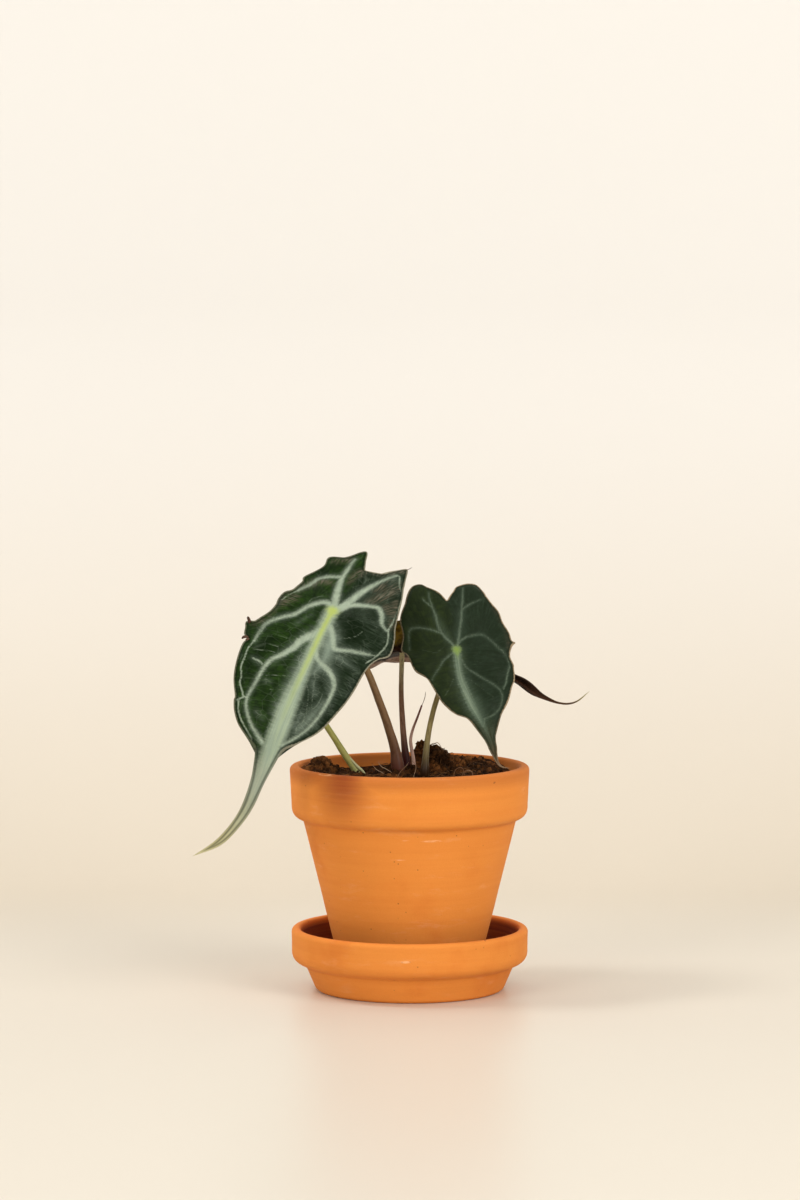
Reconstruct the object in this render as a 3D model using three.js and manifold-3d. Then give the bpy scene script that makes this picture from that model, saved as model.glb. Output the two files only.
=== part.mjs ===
// A young alocasia with four leaves and a new shoot, in a terracotta pot on its saucer.
// Millimetres, +Z up. The origin is the centre of the saucer's underside and the plant faces -Y.
import * as THREE from 'three';
import { mergeVertices } from 'three/addons/utils/BufferGeometryUtils.js';
import Module from 'manifold-3d';

// Clearance between pieces that rest on or stand in each other
const GAP = 0.3;
const TURNED_SIDES = 48;
const ROUNDING_STEPS = 2;

// Saucer: radii and heights over its underside
const SAUCER_FOOT_RADIUS = 35.3;
const SAUCER_NECK_RADIUS = 39.2;
const SAUCER_RIM_RADIUS = 44.5;
const SAUCER_HEIGHT = 23.3;
const SAUCER_FLOOR = 6;
const SAUCER_WALL = 3.4;
const SAUCER_NECK = 9.2;

// Pot: radii, and heights over its own underside
const POT_FOOT_RADIUS = 25.5;
const POT_NECK_RADIUS = 39.9;
const POT_RIM_RADIUS = 44.9;
const POT_HEIGHT = 78.2;
const POT_BAND_DEPTH = 20.4;
const POT_LIP = 3.7;
const POT_WALL = 4;
const POT_FLOOR = 5;
const DRAIN_RADIUS = 5;
const POT_BOTTOM = SAUCER_FLOOR + GAP;
const POT_TOP = POT_BOTTOM + POT_HEIGHT;
const POT_NECK = POT_TOP - POT_BAND_DEPTH;
const POT_INNER_FLOOR = POT_BOTTOM + POT_FLOOR;
const POT_INNER_RIM = POT_RIM_RADIUS - POT_LIP;
const POT_INNER_NECK = POT_NECK_RADIUS - POT_WALL;
const POT_INNER_FOOT = POT_FOOT_RADIUS - POT_WALL + 1;

// Soil: its level, its inset from the pot's inner wall, the rings of its top as shares of its
// radius, and its lumps as [x, y, height, spread]
const SOIL_LEVEL = 80.3;
const SOIL_HIGHEST_AT_WALL = 83.4;
const SOIL_WALL_LOSS = 0.4;
const SOIL_INSET = 0.5;
const SOIL_FOOT_ROUNDING = 3;
const SOIL_RINGS = [0, 0.1, 0.2, 0.3, 0.4, 0.5, 0.6, 0.7, 0.79, 0.87, 0.94, 1];
const SOIL_SIDES = 48;
const LUMPS = [
  [-2, -1, 2.6, 9],
  [-34, 9, 8.5, 4.6],
  [3, 15, 11.5, 5],
  [10, 16, 6.5, 5.5],
  [17, 20, 3, 8],
  [28, 24, 3.4, 12],
  [-6, 3, 2, 5],
  [24, -18, 1, 9],
  [-22, -20, 1.2, 8],
  [-16, 27, -2, 11],
];

// Corm under the soil, which all the stalks grow from
const CORM_CENTRE = new THREE.Vector3(-1, 0, 57);
const CORM_RADIUS = 8;
const CORM_HALF_HEIGHT = 10;
const CORM_SIDES = 16;
const CORM_STEPS = 8;

// Leaf blades. Along a leaf, u runs from the stalk's joint (0) to the drip tip; v runs across it.
const BLADE_THICKNESS = 0.8;

// Outlines of the two evenly grown blades, one half as [u, v] from the notch round the lobe to the tip
const BACK_HALF = [[-17, 0], [-20, 3], [-25, 7], [-20, 13], [-10, 18], [0, 19.5], [12, 18], [24, 14],
  [36, 8.5], [45, 4], [52, 2.6], [64, 2.2], [76, 1.4], [84, 0]];
const SMALL_HALF = [[-9, 0], [-11, 2], [-13, 4.5], [-9, 8], [-2, 10], [6, 9.7], [14, 7.2], [21, 4],
  [27, 1.2], [34, 0]];

// The spine is the midrib's route in space, from between the back lobes to the drip tip, and
// joint is the number of the point where the stalk meets it. The two facings say where the upper
// face looks at the lobes and at the tip. The folds are degrees that each half rises from the
// midrib, cup bends the halves over as they widen, and the wave lifts the margin. left and right
// are the halves' outlines, drawn in as many steps, with as many rows from midrib to margin.
const LEAVES = {
  large: {
    spine: [[-9, 14, 163.5], [-16.5, 4, 157.5], [-28.5, -14, 143.5], [-37.5, -26, 126], [-43.5, -33, 113],
      [-49.5, -38, 98], [-54.5, -40, 83.5], [-60.5, -39.5, 71.5], [-69, -37, 61.5], [-80, -34, 54.5]],
    joint: 2,
    facing: [[0.05, -0.8, 0.6], [-0.15, -0.9, 0.35]],
    folds: [6, 6],
    cup: -0.004,
    wave: { height: 0.5, count: 9, phase: 0.6 },
    left: [[-25.5, 0], [-28.5, 2], [-33, 5], [-27, 8.5], [-21.5, 14], [-16, 13.5], [-8, 17], [-2, 16.5],
      [3, 20.5], [10, 22.5], [14.5, 26.5], [23, 26.2], [32, 24.5], [40, 22.8], [47.5, 19.4], [53.5, 16],
      [58, 10.5], [61, 5.8], [69, 4.2], [80, 2.6], [95, 1.4], [111.5, 0]],
    right: [[-25.5, 0], [-27.5, 6], [-31, 8], [-37.5, 11.5], [-29, 15.5], [-17, 20], [-5, 24], [2, 26.5],
      [9, 27.3], [13, 23.8], [19, 21.8], [31, 20.4], [38, 19], [47.5, 15], [54, 9.6], [58, 4.8], [63, 3.2],
      [73, 1.8], [89, 1.9], [100, 1.8], [111.5, 0]],
    steps: 40,
    rows: 4,
  },
  middle: {
    spine: [[13.5, 14, 153], [14, 7, 146], [17.5, -4, 128.5], [19, -10, 119], [22.5, -14, 111],
      [26.5, -17, 104], [30, -19, 96.5], [33, -20, 89.5], [38.5, -20, 85.6]],
    joint: 2,
    facing: [[0.05, -0.85, 0.5], [0.2, -0.9, 0.3]],
    folds: [4, 4],
    cup: -0.004,
    wave: { height: 0.5, count: 7, phase: 2.1 },
    left: [[-20.7, 0], [-24, 3], [-26.2, 7], [-27.5, 9.7], [-25, 13.5], [-18, 17.5], [-13.5, 19.1],
      [-8.5, 19], [-2.5, 20.8], [1, 19], [7.5, 16.7], [11, 12.6], [20, 10.1], [24.7, 7.8], [28, 5],
      [38, 2.4], [45, 1.2], [53, 0]],
    right: [[-20.7, 0], [-24, 2.7], [-27.2, 4.3], [-29, 9], [-27.2, 13], [-17.8, 16], [-9, 19.5],
      [-2, 21.3], [4, 20], [14.5, 20.4], [20, 19], [27, 13.7], [31.7, 7.2], [37.7, 2.6], [45.5, 1.2],
      [53, 0]],
    steps: 30,
    rows: 4,
  },
  back: {
    spine: [[-27, 9, 119], [-16, 13.5, 124], [-2.9, 18, 126.5], [12, 25, 124.5], [27, 32, 119.5],
      [41, 38, 112.8], [50, 41, 106.7], [58, 43, 103.4], [64, 44, 103.9], [69.5, 45, 108]],
    joint: 2,
    facing: [[0.05, 0.6, 0.8], [0.05, 0.6, 0.8]],
    folds: [9, 19],
    cup: -0.002,
    wave: { height: 0.6, count: 7, phase: 0 },
    left: BACK_HALF,
    right: BACK_HALF,
    steps: 30,
    rows: 4,
  },
  small: {
    spine: [[-42, 3, 131], [-45, 9, 126.5], [-48, 14, 120], [-52, 23, 109], [-55, 31, 100], [-57, 36, 93]],
    joint: 2,
    facing: [[-0.45, 0.55, 0.7], [-0.45, 0.55, 0.7]],
    folds: [8, 8],
    cup: -0.006,
    wave: { height: 0.3, count: 6, phase: 1 },
    left: SMALL_HALF,
    right: SMALL_HALF,
    steps: 22,
    rows: 3,
  },
};

// Stalks and shoot: each point is [x, y, z, radius], from the corm up
const STALKS = {
  large: [[-1, -1.4, 64, 1.6], [-3, -1.8, 76, 2], [-4.4, -2, 83.5, 2.6], [-5.4, -2, 90, 1.9],
    [-7.7, -2.3, 98, 1.6], [-11.5, -3, 109, 1.45], [-15.8, -4, 120, 1.3], [-21.8, -8, 132.5, 1.2],
    [-28.4, -13.6, 143.2, 1.3]],
  back: [[-1.4, 3, 63, 1.2], [-1.2, 3, 78, 1.4], [-1.2, 3, 84, 1.6], [-2, 4.2, 92, 1.25],
    [-2.6, 6.2, 99, 1.1], [-3.1, 9.5, 108, 1], [-3.1, 14, 116.5, 0.9], [-2.8, 18, 126, 0.95]],
  middle: [[3, -4.5, 62, 1.2], [4.6, -8.5, 76, 1.4], [5.6, -10.8, 83, 1.6], [5.9, -9.4, 88, 1.25],
    [6.7, -6.8, 95, 1.05], [8.1, -3.8, 102, 1], [10.4, -0.4, 110, 1], [14, 0.6, 120, 0.95],
    [17.3, -3.4, 128.3, 1]],
  small: [[-6.5, 1.5, 62, 1], [-14, 3.2, 73, 1.2], [-20.3, 5, 82, 1.5], [-24, 6, 87, 1.2],
    [-29.5, 7.5, 95.5, 1.05], [-37, 10, 106.5, 0.95], [-43.6, 12.6, 114.8, 0.9], [-47.9, 14, 120, 0.9]],
};
const SHOOT = [[2.2, 4.6, 63, 0.8], [2, 5.6, 78, 1], [1.5, 5.7, 85, 1], [0.7, 5.5, 90, 0.8],
  [0.4, 5.2, 93.5, 0.65], [1.3, 4.9, 97.5, 0.5], [3, 4.6, 102, 0.42], [4.7, 4.4, 106.7, 0.32]];
const STALK_SIDES = 10;
const STEPS_PER_POINT = 2;

const COLOURS = {
  saucer: [0xd07a45, 0.85],
  pot: [0xdc8040, 0.85],
  soil: [0x2b1c12, 0.95],
  corm: [0x5b4130, 0.9],
  blade_large: [0x2f4d3d, 0.4],
  blade_middle: [0x2b423c, 0.5],
  blade_back: [0x37202a, 0.5],
  blade_small: [0x3f5f3f, 0.5],
  petiole_large: [0x6a4a36, 0.5],
  petiole_middle: [0x7a6b45, 0.5],
  petiole_back: [0x4a2326, 0.5],
  petiole_small: [0x93995a, 0.5],
  new_shoot: [0xa0706e, 0.5],
};

const wasm = await Module();
wasm.setup();

function pieceMaterial(name) {
  const [color, roughness] = COLOURS[name];
  return new THREE.MeshStandardMaterial({ color, roughness, metalness: 0, name });
}

// A closed mesh from loose triangles, each a list of three Vector3
function solidFromTriangles(triangles) {
  const corners = new Float32Array(triangles.length * 9);
  triangles.flat().forEach((corner, i) => corner.toArray(corners, 3 * i));
  const loose = new THREE.BufferGeometry();
  loose.setAttribute('position', new THREE.BufferAttribute(corners, 3));
  const merged = mergeVertices(loose, 1e-4);
  const index = merged.index.array;
  const kept = [];
  for (let i = 0; i < index.length; i += 3) {
    const [a, b, c] = [index[i], index[i + 1], index[i + 2]];
    if (a !== b && b !== c && c !== a) kept.push(a, b, c);
  }
  merged.setIndex(kept);
  return merged;
}

function toManifold(geometry) {
  const bare = geometry.clone();
  bare.deleteAttribute('normal');
  bare.deleteAttribute('uv');
  const merged = mergeVertices(bare, 1e-4);
  return new wasm.Manifold(new wasm.Mesh({
    numProp: 3,
    vertProperties: merged.attributes.position.array,
    triVerts: new Uint32Array(merged.index.array),
  }));
}

function fromManifold(solid) {
  const { vertProperties, triVerts } = solid.getMesh();
  const geometry = new THREE.BufferGeometry();
  geometry.setAttribute('position', new THREE.BufferAttribute(vertProperties, 3));
  geometry.setIndex([...triVerts]);
  return geometry;
}

function cutAway(geometry, cutters) {
  const solid = cutters.reduce((left, cutter) => left.subtract(toManifold(cutter)), toManifold(geometry));
  return fromManifold(solid);
}

// A profile of [radius, height, rounding] corners, each rounding drawn as a curve.
// The closing point repeats the first, so that a ring's profile closes on itself.
function roundedProfile(corners) {
  const path = new THREE.Path();
  const at = (i) => new THREE.Vector2(...corners[(i + corners.length) % corners.length]);
  corners.forEach(([, , rounding = 0], i) => {
    const corner = at(i);
    const before = corner.clone().add(at(i - 1).sub(corner).setLength(rounding));
    const after = corner.clone().add(at(i + 1).sub(corner).setLength(rounding));
    if (i === 0) path.moveTo(before.x, before.y);
    else path.lineTo(before.x, before.y);
    if (rounding > 0) path.quadraticCurveTo(corner.x, corner.y, after.x, after.y);
  });
  return path.getPoints(ROUNDING_STEPS);
}

function turned(profile, sides = TURNED_SIDES) {
  return new THREE.LatheGeometry(profile, sides).rotateX(Math.PI / 2);
}

function saucerGeometry() {
  const inner = SAUCER_RIM_RADIUS - SAUCER_WALL;
  return turned(roundedProfile([
    [0, 0],
    [SAUCER_FOOT_RADIUS, 0, 1.5],
    [SAUCER_NECK_RADIUS, SAUCER_NECK, 0.8],
    [SAUCER_RIM_RADIUS - 0.3, SAUCER_NECK + 2.2, 2.8],
    [SAUCER_RIM_RADIUS, SAUCER_HEIGHT, 2],
    [inner, SAUCER_HEIGHT, 1.3],
    [inner - 0.8, SAUCER_NECK + 5, 2],
    [SAUCER_FOOT_RADIUS - 1.3, SAUCER_FLOOR, 2.5],
    [0, SAUCER_FLOOR],
  ]));
}

// Inner radius of the pot at height z: a steeper cone under the neck, a gentler one in the band
function potInnerRadius(z) {
  if (z > POT_NECK) {
    return THREE.MathUtils.mapLinear(z, POT_NECK, POT_TOP, POT_INNER_NECK, POT_INNER_RIM);
  }
  return THREE.MathUtils.mapLinear(z, POT_INNER_FLOOR, POT_NECK, POT_INNER_FOOT, POT_INNER_NECK);
}

function potGeometry() {
  return turned(roundedProfile([
    [DRAIN_RADIUS, POT_BOTTOM],
    [POT_FOOT_RADIUS, POT_BOTTOM, 1.5],
    [POT_NECK_RADIUS, POT_NECK, 1],
    [POT_RIM_RADIUS - 0.9, POT_NECK + 1.8, 2.6],
    [POT_RIM_RADIUS, POT_TOP, 2.2],
    [POT_INNER_RIM, POT_TOP, 1.2],
    [POT_INNER_NECK, POT_NECK, 1],
    [POT_INNER_FOOT, POT_INNER_FLOOR, 1],
    [DRAIN_RADIUS, POT_INNER_FLOOR],
    [DRAIN_RADIUS, POT_BOTTOM],
  ]));
}

// Height of the soil's top over a point: every lump is a bell, lower where it leans on the pot's wall
function soilHeight(x, y) {
  const share = Math.hypot(x, y) / potInnerRadius(SOIL_LEVEL);
  const bell = ([cx, cy, peak, spread]) => peak * Math.exp(-((x - cx) ** 2 + (y - cy) ** 2) / spread ** 2);
  const heaped = LUMPS.reduce((sum, lump) => sum + bell(lump), 0);
  const height = SOIL_LEVEL + heaped * (1 - SOIL_WALL_LOSS * share ** 12);
  return share > 0.99 ? Math.min(height, SOIL_HIGHEST_AT_WALL) : height;
}

function soilGeometry() {
  const bottom = POT_INNER_FLOOR + GAP;
  const footHeight = bottom + SOIL_FOOT_ROUNDING;
  const wallRadius = potInnerRadius(SOIL_LEVEL) - GAP;
  const profile = [
    [0, bottom],
    [potInnerRadius(bottom) - SOIL_INSET - SOIL_FOOT_ROUNDING / 4, bottom],
    [potInnerRadius(footHeight) - SOIL_INSET, footHeight],
    [potInnerRadius(POT_NECK) - SOIL_INSET, POT_NECK],
    ...SOIL_RINGS.toReversed().map((share) => [share * wallRadius, SOIL_LEVEL]),
  ].map(([r, z]) => new THREE.Vector2(r, z));
  const geometry = turned(profile, SOIL_SIDES);
  const position = geometry.attributes.position;
  for (let i = 0; i < position.count; i += 1) {
    if (position.getZ(i) < SOIL_LEVEL - 1) continue;
    const [x, y] = [position.getX(i), position.getY(i)];
    const z = soilHeight(x, y);
    const atWall = Math.hypot(x, y) > wallRadius - 0.01;
    const widen = atWall ? (potInnerRadius(z) - GAP) / wallRadius : 1;
    position.setXYZ(i, x * widen, y * widen, z);
  }
  return geometry;
}

function cormGeometry(growth = 0) {
  const profile = Array.from({ length: CORM_STEPS + 1 }, (_, i) => {
    const angle = (i / CORM_STEPS - 0.5) * Math.PI;
    const onAxis = i === 0 || i === CORM_STEPS;
    const radius = onAxis ? 0 : (CORM_RADIUS + growth) * Math.cos(angle);
    return new THREE.Vector2(radius, (CORM_HALF_HEIGHT + growth) * Math.sin(angle));
  });
  return turned(profile, CORM_SIDES).translate(...CORM_CENTRE);
}

// A round stalk through [x, y, z, radius] points, its radius eased from point to point
function stalkGeometry(points, growth = 0) {
  const curve = new THREE.CatmullRomCurve3(points.map(([x, y, z]) => new THREE.Vector3(x, y, z)));
  const steps = (points.length - 1) * STEPS_PER_POINT;
  const rings = [];
  for (let i = 0; i <= steps; i += 1) {
    const centre = curve.getPoint(i / steps);
    const tangent = curve.getTangent(i / steps);
    const side = new THREE.Vector3(0, 1, 0).cross(tangent).normalize();
    const front = new THREE.Vector3().crossVectors(tangent, side);
    const at = i / STEPS_PER_POINT;
    const low = Math.floor(at);
    const high = Math.min(low + 1, points.length - 1);
    const radius = THREE.MathUtils.lerp(points[low][3], points[high][3], at - low) + growth;
    rings.push(Array.from({ length: STALK_SIDES }, (_, k) => {
      const angle = (2 * Math.PI * k) / STALK_SIDES;
      return centre.clone()
        .addScaledVector(side, radius * Math.cos(angle))
        .addScaledVector(front, radius * Math.sin(angle));
    }));
  }
  const triangles = [];
  const [first, last] = [rings[0], rings[steps]];
  for (let k = 0; k < STALK_SIDES; k += 1) {
    const next = (k + 1) % STALK_SIDES;
    for (let i = 0; i < steps; i += 1) {
      const [low, high] = [rings[i], rings[i + 1]];
      triangles.push([low[k], low[next], high[next]], [low[k], high[next], high[k]]);
    }
    if (k > 0 && next > 0) {
      triangles.push([first[0], first[next], first[k]], [last[0], last[k], last[next]]);
    }
  }
  return solidFromTriangles(triangles);
}

// Maps a leaf's (u, v) to space: along the spine, then across it on the folded and cupped blade
function leafSurface(leaf) {
  const spine = leaf.spine.map((point) => new THREE.Vector3(...point));
  const curve = new THREE.CatmullRomCurve3(spine, false, 'catmullrom', 0.5);
  const chords = spine.slice(1).map((point, i) => point.distanceTo(spine[i]));
  const reach = [0];
  chords.forEach((chord) => reach.push(reach.at(-1) + chord));
  const start = reach[leaf.joint];
  const [lobeFacing, tipFacing] = leaf.facing.map((facing) => new THREE.Vector3(...facing));
  return (u, v, lift) => {
    const along = THREE.MathUtils.clamp(u + start, 0, reach.at(-1));
    const piece = Math.min(reach.findLastIndex((length) => length <= along), chords.length - 1);
    const t = (piece + (along - reach[piece]) / chords[piece]) / chords.length;
    const tangent = curve.getTangent(t);
    const facing = lobeFacing.clone().lerp(tipFacing, along / reach.at(-1));
    const across = new THREE.Vector3().crossVectors(facing, tangent).normalize();
    const normal = new THREE.Vector3().crossVectors(tangent, across);
    const fold = THREE.MathUtils.degToRad(leaf.folds[v < 0 ? 0 : 1]);
    const rise = Math.abs(v) * Math.sin(fold) + leaf.cup * v * v;
    return curve.getPoint(t)
      .addScaledVector(across, v * Math.cos(fold))
      .addScaledVector(normal, rise + lift);
  };
}

// A blade as a closed sheet: ribs run from the midrib out to the margin of each half, and the
// upper and lower faces have the same triangles. lift moves the upper face off the midrib's route.
function bladeGeometry(leaf, lift = 0, thickness = BLADE_THICKNESS) {
  const surface = leafSurface(leaf);
  const [sinus, tip] = [leaf.left[0][0], leaf.left.at(-1)[0]];
  const triangles = [];
  for (const [outline, hand] of [[leaf.left, -1], [leaf.right, 1]]) {
    const margin = new THREE.SplineCurve(outline.map(([u, v]) => new THREE.Vector2(u, v)));
    const ribs = Array.from({ length: leaf.steps + 1 }, (_, i) => {
      const s = i / leaf.steps;
      const ended = i === 0 || i === leaf.steps;
      const edge = margin.getPointAt(s);
      const root = THREE.MathUtils.lerp(sinus, tip, s);
      const wave = leaf.wave.height * Math.sin(Math.PI * s) *
        Math.sin(2 * Math.PI * leaf.wave.count * s + leaf.wave.phase + hand);
      return Array.from({ length: leaf.rows + 1 }, (__, j) => {
        const share = ended ? 0 : j / leaf.rows;
        const u = THREE.MathUtils.lerp(root, edge.x, share);
        const v = hand * Math.max(edge.y, 0) * share;
        const height = lift + wave * share ** 3;
        return [surface(u, v, height), surface(u, v, height - thickness)];
      });
    });
    const face = (a, b, c) => triangles.push(hand > 0 ? [a, b, c] : [c, b, a]);
    for (let i = 0; i < leaf.steps; i += 1) {
      for (let j = 0; j < leaf.rows; j += 1) {
        const [a, b, c, d] = [ribs[i][j], ribs[i + 1][j], ribs[i + 1][j + 1], ribs[i][j + 1]];
        face(a[0], b[0], c[0]);
        face(a[0], c[0], d[0]);
        face(c[1], b[1], a[1]);
        face(d[1], c[1], a[1]);
      }
      const [near, far] = [ribs[i][leaf.rows], ribs[i + 1][leaf.rows]];
      face(near[0], far[0], far[1]);
      face(near[0], far[1], near[1]);
    }
  }
  return solidFromTriangles(triangles);
}

// A stalk ends under its blade and on the corm, with the clearance kept at both seats
function petioleGeometry(name) {
  const reachOverBlade = 2;
  const bladeSeat = bladeGeometry(LEAVES[name], reachOverBlade, reachOverBlade + BLADE_THICKNESS + GAP);
  return cutAway(stalkGeometry(STALKS[name]), [bladeSeat, cormGeometry(GAP)]);
}

const plant = new THREE.Group();
function add(name, geometry) {
  const mesh = new THREE.Mesh(geometry, pieceMaterial(name));
  mesh.name = name;
  plant.add(mesh);
}

add('saucer', saucerGeometry());
add('pot', potGeometry());
const stalkHoles = [...Object.values(STALKS), SHOOT].map((points) => stalkGeometry(points, GAP));
add('soil', cutAway(soilGeometry(), [cormGeometry(GAP), ...stalkHoles]));
add('corm', cormGeometry());
for (const name of Object.keys(LEAVES)) {
  add(`blade_${name}`, bladeGeometry(LEAVES[name]));
  add(`petiole_${name}`, petioleGeometry(name));
}
add('new_shoot', cutAway(stalkGeometry(SHOOT), [cormGeometry(GAP)]));

export default plant;
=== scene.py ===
import itertools
import math

import bpy
import numpy as np
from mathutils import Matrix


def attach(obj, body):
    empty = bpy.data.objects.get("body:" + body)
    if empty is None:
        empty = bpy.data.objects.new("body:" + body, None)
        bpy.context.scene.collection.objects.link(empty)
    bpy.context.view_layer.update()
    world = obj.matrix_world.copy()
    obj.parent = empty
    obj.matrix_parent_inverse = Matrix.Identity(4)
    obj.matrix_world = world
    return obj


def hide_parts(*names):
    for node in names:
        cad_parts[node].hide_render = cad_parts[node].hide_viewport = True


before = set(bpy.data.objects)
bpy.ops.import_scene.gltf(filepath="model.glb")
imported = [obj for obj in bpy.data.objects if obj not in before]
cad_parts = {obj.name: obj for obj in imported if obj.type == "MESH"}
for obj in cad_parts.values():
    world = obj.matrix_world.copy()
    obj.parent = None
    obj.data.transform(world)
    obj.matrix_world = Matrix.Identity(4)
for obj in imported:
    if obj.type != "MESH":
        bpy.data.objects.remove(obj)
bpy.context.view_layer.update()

# A young alocasia with four leaves in a terracotta pot on its saucer.
# Shapes are worked out in millimetres as numpy arrays and put into the meshes in metres.
MM = 0.001

# Turned clay: its sides, the step of its rings, and corners of (radius, height, rounding) as in the CAD
CLAY_SIDES, CLAY_STEP = 176, 0.9
SAUCER_CORNERS = [
    (0, 0, 0), (35.3, 0, 1.5), (39.2, 9.2, 0.8), (44.2, 11.4, 2.8), (44.5, 23.3, 2), (41.1, 23.3, 1.3),
    (40.3, 14.2, 2), (34, 6, 2.5), (0, 6, 0),
]
POT_BOTTOM, POT_NECK, POT_TOP, POT_INNER_FLOOR = 6.3, 64.1, 84.5, 11.3
POT_INNER_FOOT, POT_INNER_NECK, POT_INNER_RIM = 22.5, 35.9, 41.2
POT_CORNERS = [
    (5, POT_BOTTOM, 0.3), (25.5, POT_BOTTOM, 1.5), (39.9, POT_NECK, 1), (44, POT_NECK + 1.8, 2.6),
    (44.9, POT_TOP, 2.2), (POT_INNER_RIM, POT_TOP, 1.2), (POT_INNER_NECK, POT_NECK, 1),
    (POT_INNER_FOOT, POT_INNER_FLOOR, 1), (5, POT_INNER_FLOOR, 0.3),
]

# Soil: lumps are (x, y, height, spread)
SOIL_LEVEL = 80.3
SOIL_HIGHEST_AT_WALL = 83.4
SOIL_WALL_LOSS = 0.4
SOIL_GAP = 0.15
LUMPS = [
    (-2, -1, 2.6, 9), (-34, 8.6, 4.6, 4.2), (-30, 9, 2.6, 4.4), (-38, 3, 4.4, 5.5), (4.2, 15, 9.4, 4.6),
    (11, 16.5, 6.2, 4.8), (17, 20, 1.8, 8), (28, 23, 3.8, 12), (-6, 3, 2, 5), (24, -18, 1, 9),
    (-22, -20, 1.2, 8), (-16, 27, -2, 11),
]

# The soil's mesh, and its crumbly relief as (size, height, seed of the noise)
SOIL_SIDES, SOIL_RINGS = 320, 96
CRUMB_RELIEF = [(5, 1.5, 11), (2.6, 1.1, 12), (1.4, 0.7, 13), (0.8, 0.35, 14)]

# Loose soil. Heaps are (x, y, spread in x, spread in y, crumbs). Spilled crumbs lie by the wall,
# between two angles in degrees and two radii. Curled roots grow in a box of x and y on the tallest lump.
CRUMB_COUNT, CRUMB_REACH = 1300, 37.4
HEAPS = [(10.5, 16, 6, 3.8, 260), (-33, 6.5, 3.2, 3.2, 90)]
SPILL_COUNT, SPILL_ANGLES, SPILL_RADII = 40, (156, 190), (37, 40)
FIBRE_COUNT, FIBRE_REACH, FIBRE_FARTHEST = 230, 37, 38.6
CURL_COUNT, CURL_X, CURL_Y = 34, (3, 17), (13, 19)

# Seeds of the noise in clay, blades and stalks, and of the random draws for the loose soil
SAUCER_SEED, POT_SEED, BLADE_SEED, STALK_SEED, SHOOT_SEED, SOIL_SEED = 21, 31, 40, 60, 70, 5

# In the lobes, streaks fan out from this far to each side of the joint, as if on a circle of this radius.
# Haze, dried patches and painted sheen, and dark shades fade from nothing at the first distance
# outside their lines' half widths to full at the second inside.
FAN_CENTRE = 8
LOBE_FAN = 14
HAZE_FADE = (4.2, -4.2)
DRY_AND_SHEEN_FADE = (1.4, -2.2)
SHADE_FADE = (3, -3)

# Outlines of the two evenly grown blades, one half as (u, v) from the notch round the lobe to the tip
BACK_HALF = [
    (-17, 0), (-20, 3), (-25, 7), (-20, 13), (-10, 18), (0, 19.5), (12, 18), (24, 14), (36, 8.2), (45, 3.7),
    (52, 2.9), (60, 2.3), (65, 1.7), (69, 0.9), (74, 0.55), (80, 0.4), (84, 0),
]
SMALL_HALF = [(-9, 0), (-11, 2), (-13, 4.5), (-9, 8), (-2, 10), (6, 9.7), (14, 7.2), (21, 4), (27, 1.2),
              (34, 0)]
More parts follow.
